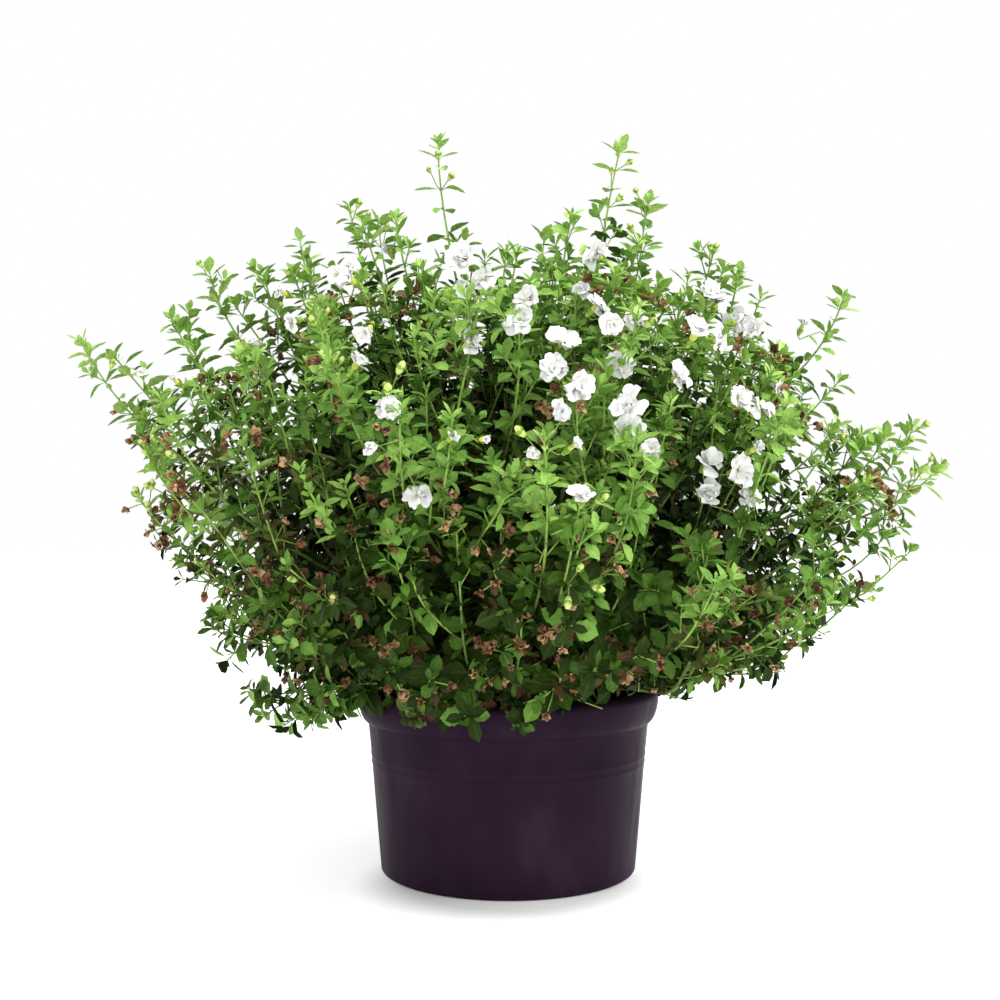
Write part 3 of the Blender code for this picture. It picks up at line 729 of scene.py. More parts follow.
def bent_path(start, start_way, end, end_way, sway):
    """A path that leaves one way and arrives another, with a little sway. It clears the rim."""
    length = (end - start).length
    first = start + start_way.normalized() * 0.36 * length + sway * length
    second = end - end_way.normalized() * 0.36 * length - sway * length
    path = smooth_path((start, first, second, end), PATH_STEPS)
    for point in path[1:-1]:
        point[2] = max(point[2], hang_limit(point) + 0.002)
    return path


def jitter(draw, size):
    """Three random offsets of about a given size."""
    return np.array([draw.gauss(0.0, size) for _ in range(3)])


def small_sway(draw, size):
    """A random offset in space, of about a given size."""
    return Vector(jitter(draw, size))


UP = Vector((0.0, 0.0, 1.0))
FINE_BEFORE = -0.08
FINE_LEAF = (0.87, 0.84)
STALKLESS = 0.006
SEATED_CHANCE = 0.34
SIDE_CHANCE = (0.52, 0.60)
SIDE_PAIRS = (
    (0.0, 0.0, 28.0, 0.0068),
    (0.005, 0.0014, 50.0, 0.0098),
    (0.011, 0.006, 64.0, 0.0118),
    (0.019, 0.013, 70.0, 0.0130),
)
shoots = []
branches = []


def grow_branch(way, fork_share, draw):
    """A branch that leaves its mass's own line for a direction, and what a shoot needs of it."""
    mass = holder_of(way)
    line = mass["line"]
    low = mass["name"].startswith("skirt")
    if low:
        start = line[0].lerp(line[1], draw.uniform(0.60, 1.0))
        leave = line[1] - line[0]
    elif draw.random() < 0.5:
        start = line[0].lerp(line[1], draw.uniform(0.15, 1.0))
        leave = line[1] - line[0]
    else:
        start = line[1].lerp(line[2], draw.uniform(0.0, 0.6))
        leave = line[2] - line[1]
    fork = HEART + way * (crown_reach(way) * fork_share)
    if low:
        fork.z = max(fork.z, POT_HEIGHT + 0.003)
    path = bent_path(start, leave, fork, (way + 0.3 * UP), small_sway(draw, 0.05))
    branches.append({"path": path, "low": low})
    return branches[-1]


def grow_shoot(branch, tip, draw, rise=None):
    """One shoot from a place on a branch to its tip, turning up towards the light as it goes."""
    path = branch["path"]
    at = draw.randint(5, PATH_STEPS - 2)
    start, leave = Vector(path[at]), Vector(path[at + 1] - path[at])
    away = (tip - HEART).normalized()
    if rise is None:
        rise = draw.uniform(-0.4, 0.3) if branch["low"] else draw.uniform(0.35, 1.5)
    shoots.append({
        "path": bent_path(start, leave, tip, away * 0.7 + UP * rise, small_sway(draw, 0.045)),
        "low": branch["low"],
        "reach": (tip - HEART).length,
        "tone": draw.random(),
        "vigour": draw.uniform(0.85, 1.15),
        "stretch": draw.uniform(0.85, 1.15),
        "fine": tip.y < FINE_BEFORE and not branch["low"],
    })
    return shoots[-1]


for number in range(BRANCHES):
    draw = random.Random(f"branch {number}")
    height = LOWEST + (1.0 - LOWEST) * (number + draw.uniform(0.2, 0.8)) / BRANCHES
    way = toward(number * GOLDEN_TURN + draw.uniform(-6.0, 6.0), math.degrees(math.asin(height)))
    branch = grow_branch(way, draw.uniform(0.45, 0.62), draw)
    for member in range(draw.randint(*SHOOTS_EACH)):
        raised = math.degrees(math.asin(way.z)) + draw.uniform(*LIFT) * (1.0 - max(0.0, way.z))
        aim = toward(math.degrees(math.atan2(way.y, way.x)), raised if not branch["low"] else raised / 2)
        aim = (aim + small_sway(draw, SPREAD * (0.4 if member == 0 else 1.0))).normalized()
        share = draw.uniform(0.93, 0.985) if member == 0 else draw.uniform(0.70, 0.95)
        tip = under_skyline(HEART + aim * (crown_reach(aim) * share), draw.uniform(0.0, 34.0))
        tip.z = max(tip.z, hang_limit(tip) + 0.008)
        if member > 0 and abs(tip.x) > THIN_BEYOND and draw.random() < THIN_CHANCE[tip.x >= 0.0]:
            continue
        grow_shoot(branch, tip, draw)
for number, (x, y) in enumerate(OUTLINE_TIPS):
    draw = random.Random(f"outline {number}")
    spread = 0.10 * (1.0 - abs(x - PICTURE_SIDE / 2) / (PICTURE_SIDE / 2))
    tip = seen_place(x, y, spread * draw.uniform(-1.0, 0.5))
    tip += (HEART - tip).normalized() * TIP_LEAF_REACH
    branch = grow_branch((tip - HEART).normalized(), 0.5, draw)
    shoot = grow_shoot(branch, tip, draw, draw.uniform(0.3, 0.9))
    shoot["vigour"] = draw.uniform(1.05, 1.25)
    shoot["stretch"] = draw.uniform(1.0, 1.35)
for number, (x, y, behind) in enumerate(FRONT_TIPS):
    draw = random.Random(f"front {number}")
    tip = seen_place(x, y, behind)
    way = tip - HEART
    branch = grow_branch(Vector((way.x, way.y, 0.30 * way.z)).normalized(), 0.55, draw)
    shoot = grow_shoot(branch, tip, draw, draw.uniform(1.2, 2.0))
    shoot["tone"] = draw.uniform(0.5, 1.0)
    shoot["vigour"] = draw.uniform(0.80, 1.0)
for number, (x, y, _) in enumerate(TUFTS):
    draw = random.Random(f"tuft {number}")
    for _ in range(3):
        tip = seen_place(x + draw.uniform(-9.0, 9.0), y - draw.uniform(0.0, 16.0), -0.112)
        way = Vector((tip.x, tip.y, 0.1 * tip.y)).normalized()
        grow_shoot(grow_branch(way, 0.45, draw), tip, draw, -1.3)
for number, (x, y, behind) in enumerate(HANGING_TIPS):
    draw = random.Random(f"hanging {number}")
    tip = seen_place(x, y, behind)
    tip.z = max(tip.z, hang_limit(tip) + 0.004)
    way = Vector((tip.x, tip.y, -0.05 * abs(tip.x))).normalized()
    shoot = grow_shoot(grow_branch(way, 0.55, draw), tip, draw, draw.uniform(-0.7, -0.2))
    shoot["vigour"] = draw.uniform(1.05, 1.25)


def unit(vector):
    """The vector at length one, as an array."""
    vector = np.asarray(vector, float)
    return vector / max(1e-9, np.linalg.norm(vector))


def blade_frame(place, along, face):
    """A copy's place and axes: its length lies along one way and its upper face looks another."""
    y = unit(along)
    x = unit(np.cross(y, face))
    return (np.asarray(place, float), x, y, np.cross(x, y))


# Leaf tones. The tip and fresh greens are young growth, and the dull and dead tones are the leaves' own
# yellowed and brown colour. The deep and shade greens are painted shade: the same leaf in darker copies,
# dealt to sprays that sit deep inside the crown or low down.
LEAF_TONES = {
    "leaves_tip": (0.345, 0.530, 0.120),
    "leaves_fresh": (0.218, 0.392, 0.066),
    "leaves_green": (0.124, 0.256, 0.036),
    "leaves_deep": (0.050, 0.114, 0.012),
    "leaves_shade": (0.020, 0.041, 0.006),
    "leaves_dull": (0.074, 0.086, 0.018),
    "leaves_dead": (0.062, 0.036, 0.015),
}
# Deeper sprays take darker greens as painted shade, with a share of dead leaves among them.
PAINTED_SHADE_AND_DEAD_TONES = (
    (0.12, ((0.25, "dead"), (1.0, "shade"))),
    (0.09, ((0.10, "dead"), (0.50, "shade"), (1.0, "deep"))),
    (0.06, ((0.03, "dull"), (0.06, "dead"), (0.50, "deep"), (1.0, "green"))),
)
DRY_MIX = ((0.32, "dead"), (0.45, "dull"))
DRY_DEPTH, DRY_BELOW, DRY_LEFT_OF = 0.022, 0.255, -0.07
# Sprays low in the crown count as deeper, for more painted shade.
PAINTED_SHADE_EXTRA_DEPTH, PAINTED_SHADE_BELOW = 0.030, 0.21
# Low shoots at the left take paler greens as painted light, and so do sprays at the top and on the right.
PAINTED_LIGHT_SHARE, PAINTED_LIGHT_LEFT_OF = 0.30, -0.095
PAINTED_LIGHT_PALER_SHARE, PAINTED_LIGHT_ABOVE = 0.50, 0.30
PAINTED_LIGHT_RIGHT_OF, PAINTED_LIGHT_RIGHT_ABOVE = 0.12, 0.215
DEAD_SIZE = 0.72
LOOSE_SHARE, LOOSE_HANG = 0.10, 0.014
MOST_PAIRS = 40
STEM_BASE, STEM_GROWTH, STEM_TIP = 0.0006, 0.0032, 0.00048
BROWN_SHARE = 0.33
DULL_SHARE = (0.62, 0.45)
LOW_WIDTH, LOW_LEAN = 1.32, 22.0
leaf_beds = {name: {kind: [] for kind in LEAF_SHAPES} for name in LEAF_TONES}
stem_tubes = {"stems_green": [], "stems_dull": [], "stems_brown": []}
perches = []


def tone_of(depth, shoot, place, draw):
    """Which tone a spray of leaves has, from how deep it sits behind the outline, in metres. Deeper and
    lower sprays get darker greens as painted shade; low shoots at the left and sprays at the top and on the
    right get paler greens as painted light.
    """
    pick = draw.random()
    painted_light = PAINTED_LIGHT_SHARE if place[0] < PAINTED_LIGHT_LEFT_OF else 0.0
    right = place[0] > PAINTED_LIGHT_RIGHT_OF and place[2] > PAINTED_LIGHT_RIGHT_ABOVE
    paler = PAINTED_LIGHT_PALER_SHARE if place[2] > PAINTED_LIGHT_ABOVE or right else 0.0
    if shoot["low"]:
        bounds = (0.08, 0.10, 0.10 + painted_light / 2, 0.16 + painted_light, 0.47 + painted_light, 1.0)
        mix = zip(bounds, ("dead", "dull", "fresh", "green", "deep", "shade"))
    elif depth > DRY_DEPTH and place[2] < DRY_BELOW and place[0] < DRY_LEFT_OF and pick < DRY_MIX[1][0]:
        mix = DRY_MIX
    else:
        depth += PAINTED_SHADE_EXTRA_DEPTH if place[2] < PAINTED_SHADE_BELOW else 0.0
        mixes = (
            *PAINTED_SHADE_AND_DEAD_TONES,
            (0.032, ((0.60 - 0.3 * shoot["tone"] - paler, "green"), (1.0, "fresh"))),
            (0.020, ((paler, "tip"), (0.75 + paler, "fresh"), (1.0, "green"))),
            (-1.0, ((0.10 + 0.45 * shoot["tone"] + paler, "tip"), (1.0, "fresh"))),
        )
        mix = next(mix for limit, mix in mixes if depth > limit)
    return "leaves_" + next(tone for bound, tone in mix if pick < bound)


def add_leaf(tone, kind, place, along, face, length, width, draw):
    """One leaf of a spray, rolled and tilted a little. One that would hang too low is left off."""
    along = unit(np.asarray(along) + jitter(draw, 0.10))
    face = unit(np.asarray(face) + jitter(draw, 0.22))
    end = place + along * length
    slack = LOOSE_HANG if draw.random() < LOOSE_SHARE else 0.0
    if end[2] > hang_limit(end) - slack:
        frame_of_leaf = blade_frame(place, along, face)
        leaf_beds[tone][kind].append((frame_of_leaf, (length * width, length, length)))


def leaf_pair(tone, place, along, side, lean, length, width, draw, small=False, slim=0.0):
    """Two leaves that face each other across a stem, each with its upper face to the light."""
    lean = math.radians(lean)
    for sign in (-1.0, 1.0):
        way = along * math.cos(lean) + side * (sign * math.sin(lean))
        face = along * math.sin(lean) - side * (sign * math.cos(lean)) + np.array((0.0, 0.0, 0.35))
        size = length * draw.uniform(0.86, 1.12) * (DEAD_SIZE if tone == "leaves_dead" else 1.0)
        if small:
            kind = "small"
        elif tone == "leaves_dead":
            kind = "curled"
        elif tone == "leaves_shade" and draw.random() < 0.8:
            kind = "shaded"
        else:
            pick = draw.random()
            kind = "curled" if pick < 0.3 else ("slim" if pick < 0.3 + slim else "toothed")
        add_leaf(tone, kind, place + way * 0.0004, way, face, size, width, draw)


def side_shoot(tone, place, along, side, length, draw):
    """A short shoot between leaf and stem, with more pairs of leaves the longer it is."""
    way = unit(along * 0.80 + side * 0.62 + np.array((0.0, 0.0, 0.2)))
    seated = length <= STALKLESS
    end = place + way * length * (0.3 if seated else 1.0)
    if not seated:
        stem_tubes["stems_green"].append(tube([place, end], (0.0006, 0.0004), 3))
    across = unit(np.cross(way, side))
    crossed = (across, unit(np.cross(across, way)))
    for number, (longer, back, lean, size) in enumerate(SIDE_PAIRS):
        if length > longer:
            spot = end - way * back
            leaf_pair(tone, spot, way, crossed[number % 2], lean, size, 1.0, draw, small=number < 2)


def path_lengths(path):
    """Length along a path at each of its points."""
    return np.concatenate([[0.0], np.cumsum(np.linalg.norm(np.diff(path, axis=0), axis=1))])


def stem_frame(path, lengths, at, turn):
    """A stem's place and way at a length along it, and the way square to it at a turn round it."""
    before, place, after = (
        np.array([np.interp(spot, lengths, path[:, k]) for k in range(3)])
        for spot in (at - 0.003, at, at + 0.003)
    )
    along = unit(after - before)
    level = unit(np.cross(along, (0.02, 0.03, 1.0)))
    return place, along, level * math.cos(turn) + np.cross(along, level) * math.sin(turn)


for number, shoot in enumerate(shoots):
    draw = random.Random(f"leaves {number}")
    path = shoot["path"]
    lengths = path_lengths(path)
    length = lengths[-1]
    radii = np.interp(lengths, [0.0, length], [STEM_BASE + STEM_GROWTH * length, STEM_TIP])
    first, second = int(PATH_STEPS * BROWN_SHARE), int(PATH_STEPS * DULL_SHARE[shoot["low"]])
    stem_tubes["stems_brown"].append(tube(path[: first + 1], radii[: first + 1], 5))
    stem_tubes["stems_dull"].append(tube(path[first : second + 1], radii[first : second + 1], 5))
    stem_tubes["stems_green"].append(tube(path[second:], radii[second:], 5))
    back = 0.0
    turn = draw.uniform(0.0, math.pi)
    for node in range(MOST_PAIRS):
        place, along, side = stem_frame(path, lengths, length - back, turn)
        off = Vector(place) - HEART
        depth = max(crown_reach(off.normalized()), shoot["reach"]) - off.length
        # How deep a spray counts for its painted shade; the first pairs at a tip count as near the outline.
        seen_depth = min(depth, back + 0.03) if node > 2 else min(depth, 0.02)
        tone = tone_of(seen_depth, shoot, place, draw)
        row = min(node, len(LEAF_LENGTHS) - 1)
        size = LEAF_LENGTHS[row] * 0.001 * shoot["vigour"]
        width = draw.uniform(0.66, 1.02)
        if shoot["fine"]:
            size *= FINE_LEAF[0]
            width *= FINE_LEAF[1]
        lean = LEAF_LEANS[row] + draw.gauss(0.0, 9.0)
        if shoot["low"]:
            size *= draw.uniform(0.80, 1.20)
            width *= LOW_WIDTH
            lean += LOW_LEAN
        leaf_pair(tone, place, along, side, lean, size, width, draw, slim=0.3 if node < 2 else 0.10)
        for sign in (-1.0, 1.0) if node >= 2 else ():
            pick = draw.random()
            if pick < SEATED_CHANCE:
                side_shoot(tone, place, along, side * sign, draw.uniform(0.003, STALKLESS), draw)
            elif pick < SIDE_CHANCE[shoot["fine"]] and node >= 4:
                side_shoot(tone, place, along, side * sign, draw.uniform(0.007, 0.026), draw)
            elif depth < 0.09:
                perches.append((place, along, side * sign, depth))
        gap = NODE_GAPS[min(node, len(NODE_GAPS) - 1)] * 0.001 * draw.uniform(0.82, 1.2)
        back += gap * (shoot["stretch"] if node > 1 else 1.0)
        turn += math.pi / 2 + draw.uniform(-0.15, 0.15)
        if back > length - 0.003:
            break


OLD_LEAF = (0.012, 0.018)
OLD_WIDTH = 1.05
OLD_DEAD_SHARE = 0.25
OLD_SIDE_CHANCE = 0.40


def dress_in_shade(path, first, step, draw, low):
    """Old broad leaves and short side shoots along a line inside the crown, most of them dark: the shade
    green is painted shade, and some leaves are dead and brown.
    """
    lengths = path_lengths(path)
    turn = draw.uniform(0.0, math.pi)
    at = first
    while at < lengths[-1]:
        place, along, side = stem_frame(path, lengths, at, turn)
        # Painted shade: most old leaves inside the crown take the shade green.
        tone = "leaves_dead" if draw.random() < OLD_DEAD_SHARE else "leaves_shade"
        if low and at > 0.4 * lengths[-1]:
            tone = "leaves_deep"
        size = draw.uniform(*OLD_LEAF)
        leaf_pair(tone, place, along, side, draw.uniform(60.0, 100.0), size, OLD_WIDTH, draw)
        for sign in (-1.0, 1.0):
            if draw.random() < OLD_SIDE_CHANCE:
                side_shoot(tone, place, along, side * sign, draw.uniform(0.007, 0.030), draw)
        at += draw.uniform(*step)
        turn += math.pi / 2 + draw.uniform(-0.2, 0.2)


for number, branch in enumerate(branches):
    draw = random.Random(f"branch leaves {number}")
    stem_tubes["stems_brown"].append(tube(branch["path"], np.linspace(0.0013, 0.0009, PATH_STEPS), 6))
    dress_in_shade(branch["path"], 0.006, (0.007, 0.013), draw, branch["low"])
for number, mass in enumerate(masses):
    draw = random.Random(f"old leaves {number}")
    line = np.array([mass["line"][0].lerp(mass["line"][1], i / 9) for i in range(10)])
    dress_in_shade(line, 0.012, (0.005, 0.009), draw, False)

MOST_TRIANGLES = 190000
STEM_TONES = (
    (
        "stems_green", "green_stems", "green stems", 0.5,
        ((0.15, 0.28, 0.04), (0.22, 0.37, 0.06), (0.29, 0.44, 0.09)),
    ),
    (
        "stems_dull", "green_stems", "dull green stems", 0.6,
        ((0.07, 0.12, 0.02), (0.12, 0.18, 0.035), (0.17, 0.23, 0.06)),
    ),
    (
        "stems_brown", "green_bark", "older stems", 0.75,
        ((0.035, 0.030, 0.012), (0.07, 0.075, 0.022), (0.11, 0.14, 0.04)),
    ),
)


def leaf_finish(name, colour):
    """A matte blade with a paler midrib and faint blotches."""
    darker = tuple(0.80 * c for c in colour)
    lighter = tuple(min(1.0, 1.18 * c) for c in colour)
    stops = ((0.35, darker), (0.65, lighter))
    made = varied_finish(name, colour, 0.55, (260.0, 3.0), stops, specular=0.03 + 0.55 * colour[1])
    tree = made.node_tree
    place = tree.nodes.new("ShaderNodeUVMap")
    place.uv_map = "blade"
    parts = tree.nodes.new("ShaderNodeSeparateXYZ")
    rib = tree.nodes.new("ShaderNodeMath")
    rib.operation = "COMPARE"
    rib.inputs[1].default_value = 0.5
    rib.inputs[2].default_value = 0.07
    share = tree.nodes.new("ShaderNodeMath")
    share.operation = "MULTIPLY"
    share.inputs[1].default_value = 0.35
    mix = tree.nodes.new("ShaderNodeMix")
    mix.data_type = "RGBA"
    mix.inputs["B"].default_value = (*(min(1.0, 1.5 * c + 0.03) for c in colour), 1.0)
    tree.links.new(place.outputs["UV"], parts.inputs["Vector"])
    tree.links.new(parts.outputs["X"], rib.inputs[0])
    tree.links.new(rib.outputs["Value"], share.inputs[0])
    tree.links.new(share.outputs["Value"], mix.inputs["Factor"])
    tree.links.new(tree.nodes["tints"].outputs["Color"], mix.inputs["A"])
    tree.links.new(mix.outputs["Result"], tree.nodes["Principled BSDF"].inputs["Base Color"])
    return made


mass_nodes = [mass["name"] for mass in masses]


def dress_in_pieces(name, material, parts, nodes=()):
    """Joins the parts to one piece, or to several where it would have too many triangles."""
    points, faces, uv = joined(parts)
    corners = uv.reshape(-1, 3, 2)
    count = math.ceil(len(faces) / MOST_TRIANGLES)
    for number in range(count):
        first, last = len(faces) * number // count, len(faces) * (number + 1) // count
        chosen = faces[first:last]
        low, high = chosen.min(), chosen.max()
        label = name if count == 1 else f"{name}_{number + 1}"
        piece = piece_of(label, points[low : high + 1], chosen - low, corners[first:last].reshape(-1, 2))
        settle(piece, material, nodes if number == 0 else ())


for name, colour in LEAF_TONES.items():
    parts = [copies_of(leaf_kinds[kind], placed) for kind, placed in leaf_beds[name].items() if placed]
    nodes = mass_nodes if name == "leaves_green" else ()
    dress_in_pieces(name, leaf_finish(name.replace("_", " "), colour), parts, nodes)
for name, slot, label, roughness, colours in STEM_TONES:
    stops = tuple(zip((0.36, 0.52, 0.68), colours))
    stem = varied_finish(label, colours[1], roughness, (160.0, 3.0), stops, (0.2, 0.0003), 0.3)
    dress_in_pieces(name, stem, stem_tubes[name])

# The flowers are double and white: five broad notched lobes round a ruffle of smaller ones, with
# a yellow-green throat, a short pale tube and a green calyx. Each stands on a thin stalk from a
# leaf's axil, mostly in the upper half of the crown.
FLOWER_POINTS = (
    (464, 261, 1.15), (352, 281, 1.10), (369, 329, 0.85), (529, 301, 0.95), (520, 321, 0.95),
    (562, 343, 1.10), (553, 370, 0.90), (575, 386, 1.10), (564, 410, 0.80), (629, 406, 1.00),
    (629, 430, 0.95), (598, 256, 1.05), (596, 307, 0.85), (636, 321, 0.75), (620, 366, 0.85),
    (466, 286, 0.75), (467, 345, 0.95), (356, 365, 0.85), (390, 249, 0.70), (388, 410, 0.70),
    (370, 448, 0.50), (450, 439, 0.50), (484, 439, 0.42), (573, 446, 0.48), (533, 455, 0.55),
    (651, 450, 0.70), (417, 497, 0.72), (582, 497, 0.78), (694, 336, 1.00), (715, 304, 0.95),
    (735, 323, 1.05), (755, 332, 0.95), (676, 377, 0.90), (737, 399, 0.85), (759, 406, 1.00),
    (755, 449, 0.60), (707, 464, 0.90), (737, 471, 1.00), (707, 495, 1.00), (750, 499, 0.85),
    (802, 326, 0.60), (843, 434, 0.42), (867, 440, 0.42), (257, 348, 0.62), (283, 293, 0.50),
    (140, 371, 0.42), (175, 380, 0.40), (292, 322, 0.62), (776, 390, 0.62), (581, 292, 0.80),
    (613, 324, 0.75), (718, 342, 0.80), (783, 407, 0.60), (711, 291, 0.85), (336, 276, 0.75),
    (484, 281, 0.80),
)
MORE_FLOWERS = 46
FLOWER_RADIUS = 0.0090
STALK_RADIUS = 0.0004
TUBE_LENGTH = 0.0065
LOST_LOBES = 0.08
SHUT_ANGLES = (8.0, 20.0, 34.0, 48.0)
SMALL_SHUT_ANGLE = 62.0
WIDTH_OF_VIEW = (190.0, 810.0)
FLOWERS_ABOVE = 0.22
FLOWER_DEPTHS = (0.012, 0.045)

petal = blade(
    "petal",
    ((0.0, 0.12, 0.0), (0.35, 0.32, 0.05), (0.68, 0.50, 0.03), (0.90, 0.44, -0.04), (1.0, 0.26, -0.10)),
    4,
    0.14,
    notch=0.07,
    ruffle=0.20,
)
bpy.ops.mesh.primitive_uv_sphere_add(segments=8, ring_count=5, radius=1.0)
bead = take_master(bpy.context.object)
petals, throats, flower_tubes, stalks, sepals = [], [], [], [], []


def cross_ways(way):
    """Two ways square to a way and to each other."""
    first = unit(np.cross(way, (0.37, 0.21, 0.83)))
    return first, np.cross(way, first)


def opened(way, turn, rise):
    """Out from a bloom's axis at a turn, and the way and face of a blade that opens there."""
    first, second = cross_ways(way)
    out = first * math.cos(turn) + second * math.sin(turn)
    rise = math.radians(rise)
    along = out * math.cos(rise) + way * math.sin(rise)
    return out, along, way * math.cos(rise) - out * math.sin(rise)


def add_stalk(place, leave, end, arrive):
    """A thin stalk that leaves an axil one way and meets its bloom another."""
    reach = np.linalg.norm(end - place)
    line = smooth_path((place, place + leave * 0.4 * reach, end - arrive * 0.4 * reach, end), 5)
    stalks.append(tube(line, np.full(5, STALK_RADIUS), 3))


def add_calyx(place, way, length, lean, draw):
    """Five narrow sepals round the foot of a bloom."""
    for number in range(5):
        out, along, face = opened(way, math.tau * number / 5 + draw.uniform(-0.1, 0.1), 90.0 - lean)
        sepals.append((blade_frame(place + out * 0.0008, along, face), (length * 0.8, length, length)))


def add_flower(place, way, radius, draw):
    """A double flower that faces one way, its middle at a place. Gives the foot of its tube."""
    way = unit(way)
    start = draw.uniform(0.0, math.tau)
    shut = draw.choice(SHUT_ANGLES) if radius > 0.6 * FLOWER_RADIUS else SMALL_SHUT_ANGLE
    shut += draw.uniform(-6.0, 6.0)
    whorls = ((5, shut, 1.0, 0.0), (5, shut + 16.0, 0.82, 0.5), (3, min(76.0, shut + 36.0), 0.56, 0.2))
    for count, lift, size, shift in whorls:
        for number in range(count):
            if draw.random() < LOST_LOBES:
                continue
            turn = start + math.tau * (number + shift) / count + draw.gauss(0.0, 0.16)
            _, along, face = opened(way, turn, lift + draw.gauss(0.0, 12.0))
            face = face + jitter(draw, 0.26)
            long = radius * size * draw.uniform(0.78, 1.15)
            spans = (long * draw.uniform(0.85, 1.1), long, long * draw.uniform(0.6, 2.2))
            petals.append((blade_frame(place, along, face), spans))
    throat = 0.19 * radius
    throats.append(((place + way * 0.0004, *cross_ways(way), way), (throat, throat, 0.0012)))
    foot_place = place - way * TUBE_LENGTH
    widths = (0.0010, 0.0013, 0.0006 + 0.15 * radius)
    flower_tubes.append(tube([foot_place, place - way * 0.003, place], widths, 6))
    add_calyx(foot_place, way, 0.0052, 16.0, draw)
    return foot_place, way


free_perches = list(range(len(perches)))
eye = np.array(CAMERA_PLACE)


def chance_perch(draw):
    """Any free axil: its number, its place, the stem's way, the side it faces and its depth."""
    chosen = draw.choice(free_perches)
    return (chosen, *perches[chosen])


def perch_for(x, y):
    """The free axil nearest the camera of those that stand close to a sight line."""
    way = np.array(sight_line(x, y).normalized())
    best, best_score = None, 1e9
    for index in free_perches:
        off = perches[index][0] - eye
        ahead = off.dot(way)
        aside = np.linalg.norm(off - way * ahead)
        score = ahead + 9.0 * max(0.0, aside - 0.012) + 2.0 * perches[index][3]
        if score < best_score:
            best, best_score = index, score
    return best


for number, (x, y, size) in enumerate(FLOWER_POINTS):
    draw = random.Random(f"flower {number}")
    chosen = perch_for(x, y)
    free_perches.remove(chosen)
    place, along, side, _ = perches[chosen]
    middle = np.array(seen_place(x, y, place[1] + draw.uniform(-0.012, 0.008)))
    to_eye = unit(eye - middle)
    out = unit(np.array(Vector(middle) - HEART))
    face = to_eye * draw.uniform(-0.1, 0.8) + out * draw.uniform(0.3, 1.0) + side * 0.4
    face = face + np.array([draw.gauss(0.0, 0.5), draw.gauss(0.0, 0.3), draw.gauss(0.15, 0.4)])
    foot_place, way = add_flower(middle, face, FLOWER_RADIUS * size, draw)
    add_stalk(place, unit(along + side), foot_place, way)
draw = random.Random("more flowers")
made = 0
while made < MORE_FLOWERS:
    chosen, place, along, side, depth = chance_perch(draw)
    if place[2] < FLOWERS_ABOVE or place[1] < 0.02 or not FLOWER_DEPTHS[0] < depth < FLOWER_DEPTHS[1]:
        continue
    if below_skyline(place) < 28.0 or not WIDTH_OF_VIEW[0] < seen_at(place)[0] < WIDTH_OF_VIEW[1]:
        continue
    if draw.random() > 0.25 + 3.0 * (place[2] - FLOWERS_ABOVE) or place[2] > 0.42:
        continue
    free_perches.remove(chosen)
    out = unit(np.array(Vector(place) - HEART))
    way = unit(out * 0.8 + side * 0.9 + jitter(draw, 0.4))
    middle = place + way * 0.010 + unit(side + out) * draw.uniform(0.008, 0.018)
    foot_place, way = add_flower(middle, way, FLOWER_RADIUS * draw.uniform(0.85, 1.15), draw)
    add_stalk(place, unit(along + side), foot_place, way)
    made += 1

petal_stops = ((0.36, (0.74, 0.75, 0.71)), (0.62, (0.83, 0.83, 0.83)))
white_petal = varied_finish(
    "white petals", (0.80, 0.80, 0.79), 0.62, (300.0, 3.0), petal_stops, (0.25, 0.0005), 0.25
)
throat_stops = ((0.4, (0.34, 0.46, 0.05)), (0.6, (0.62, 0.60, 0.10)))
throat_green = varied_finish("throats", (0.50, 0.55, 0.07), 0.6, (900.0, 2.0), throat_stops)
dress_in_pieces("petals", white_petal, [copies_of(petal, petals)])
dress_in_pieces("throats_and_tubes", throat_green, [copies_of(bead, throats), *flower_tubes])

# Small pale yellow-green buds stand on stalks of their own near the shoot tips. The spent
# flowers stay on the plant as dry cups in tan and brown with a dark seed head, most of them a
# little way in from the outline.
BUDS = 75
SPENT = (520, 210)
BUD_RADIUS = 0.0017
BUDS_ABOVE = 0.17

cup_lobe = blade(
    "cup_lobe", ((0.0, 0.16, 0.0), (0.40, 0.30, 0.10), (0.75, 0.22, 0.06), (1.0, 0.0, 0.20)), 2, 0.5
)
bpy.ops.mesh.primitive_uv_sphere_add(segments=5, ring_count=3, radius=1.0)
seed_head = take_master(bpy.context.object)
buds, dark_beads = [], []
lobes = {"spent_cups": [], "spent_brown": []}
draw = random.Random("buds")
made = 0
while made < BUDS:
    chosen, place, along, side, depth = chance_perch(draw)
    if place[2] < BUDS_ABOVE or not FLOWER_DEPTHS[0] < depth < FLOWER_DEPTHS[1]:
        continue
    if draw.random() > 0.3 + 2.0 * (place[2] - BUDS_ABOVE):
        continue
    free_perches.remove(chosen)
    way = unit(along * 0.8 + side * draw.uniform(0.5, 1.2) + np.array((0.0, 0.0, 0.3)))
    end = place + way * draw.uniform(0.006, 0.014)
    add_stalk(place, unit(along + side), end, way)
    size = BUD_RADIUS * draw.uniform(0.7, 1.25)
    buds.append(((end + way * size * 1.5, *cross_ways(way), way), (size, size, size * 1.9)))
    add_calyx(end, way, size * 2.6, 20.0, draw)
    made += 1
draw = random.Random("spent flowers")
made = [0, 0]
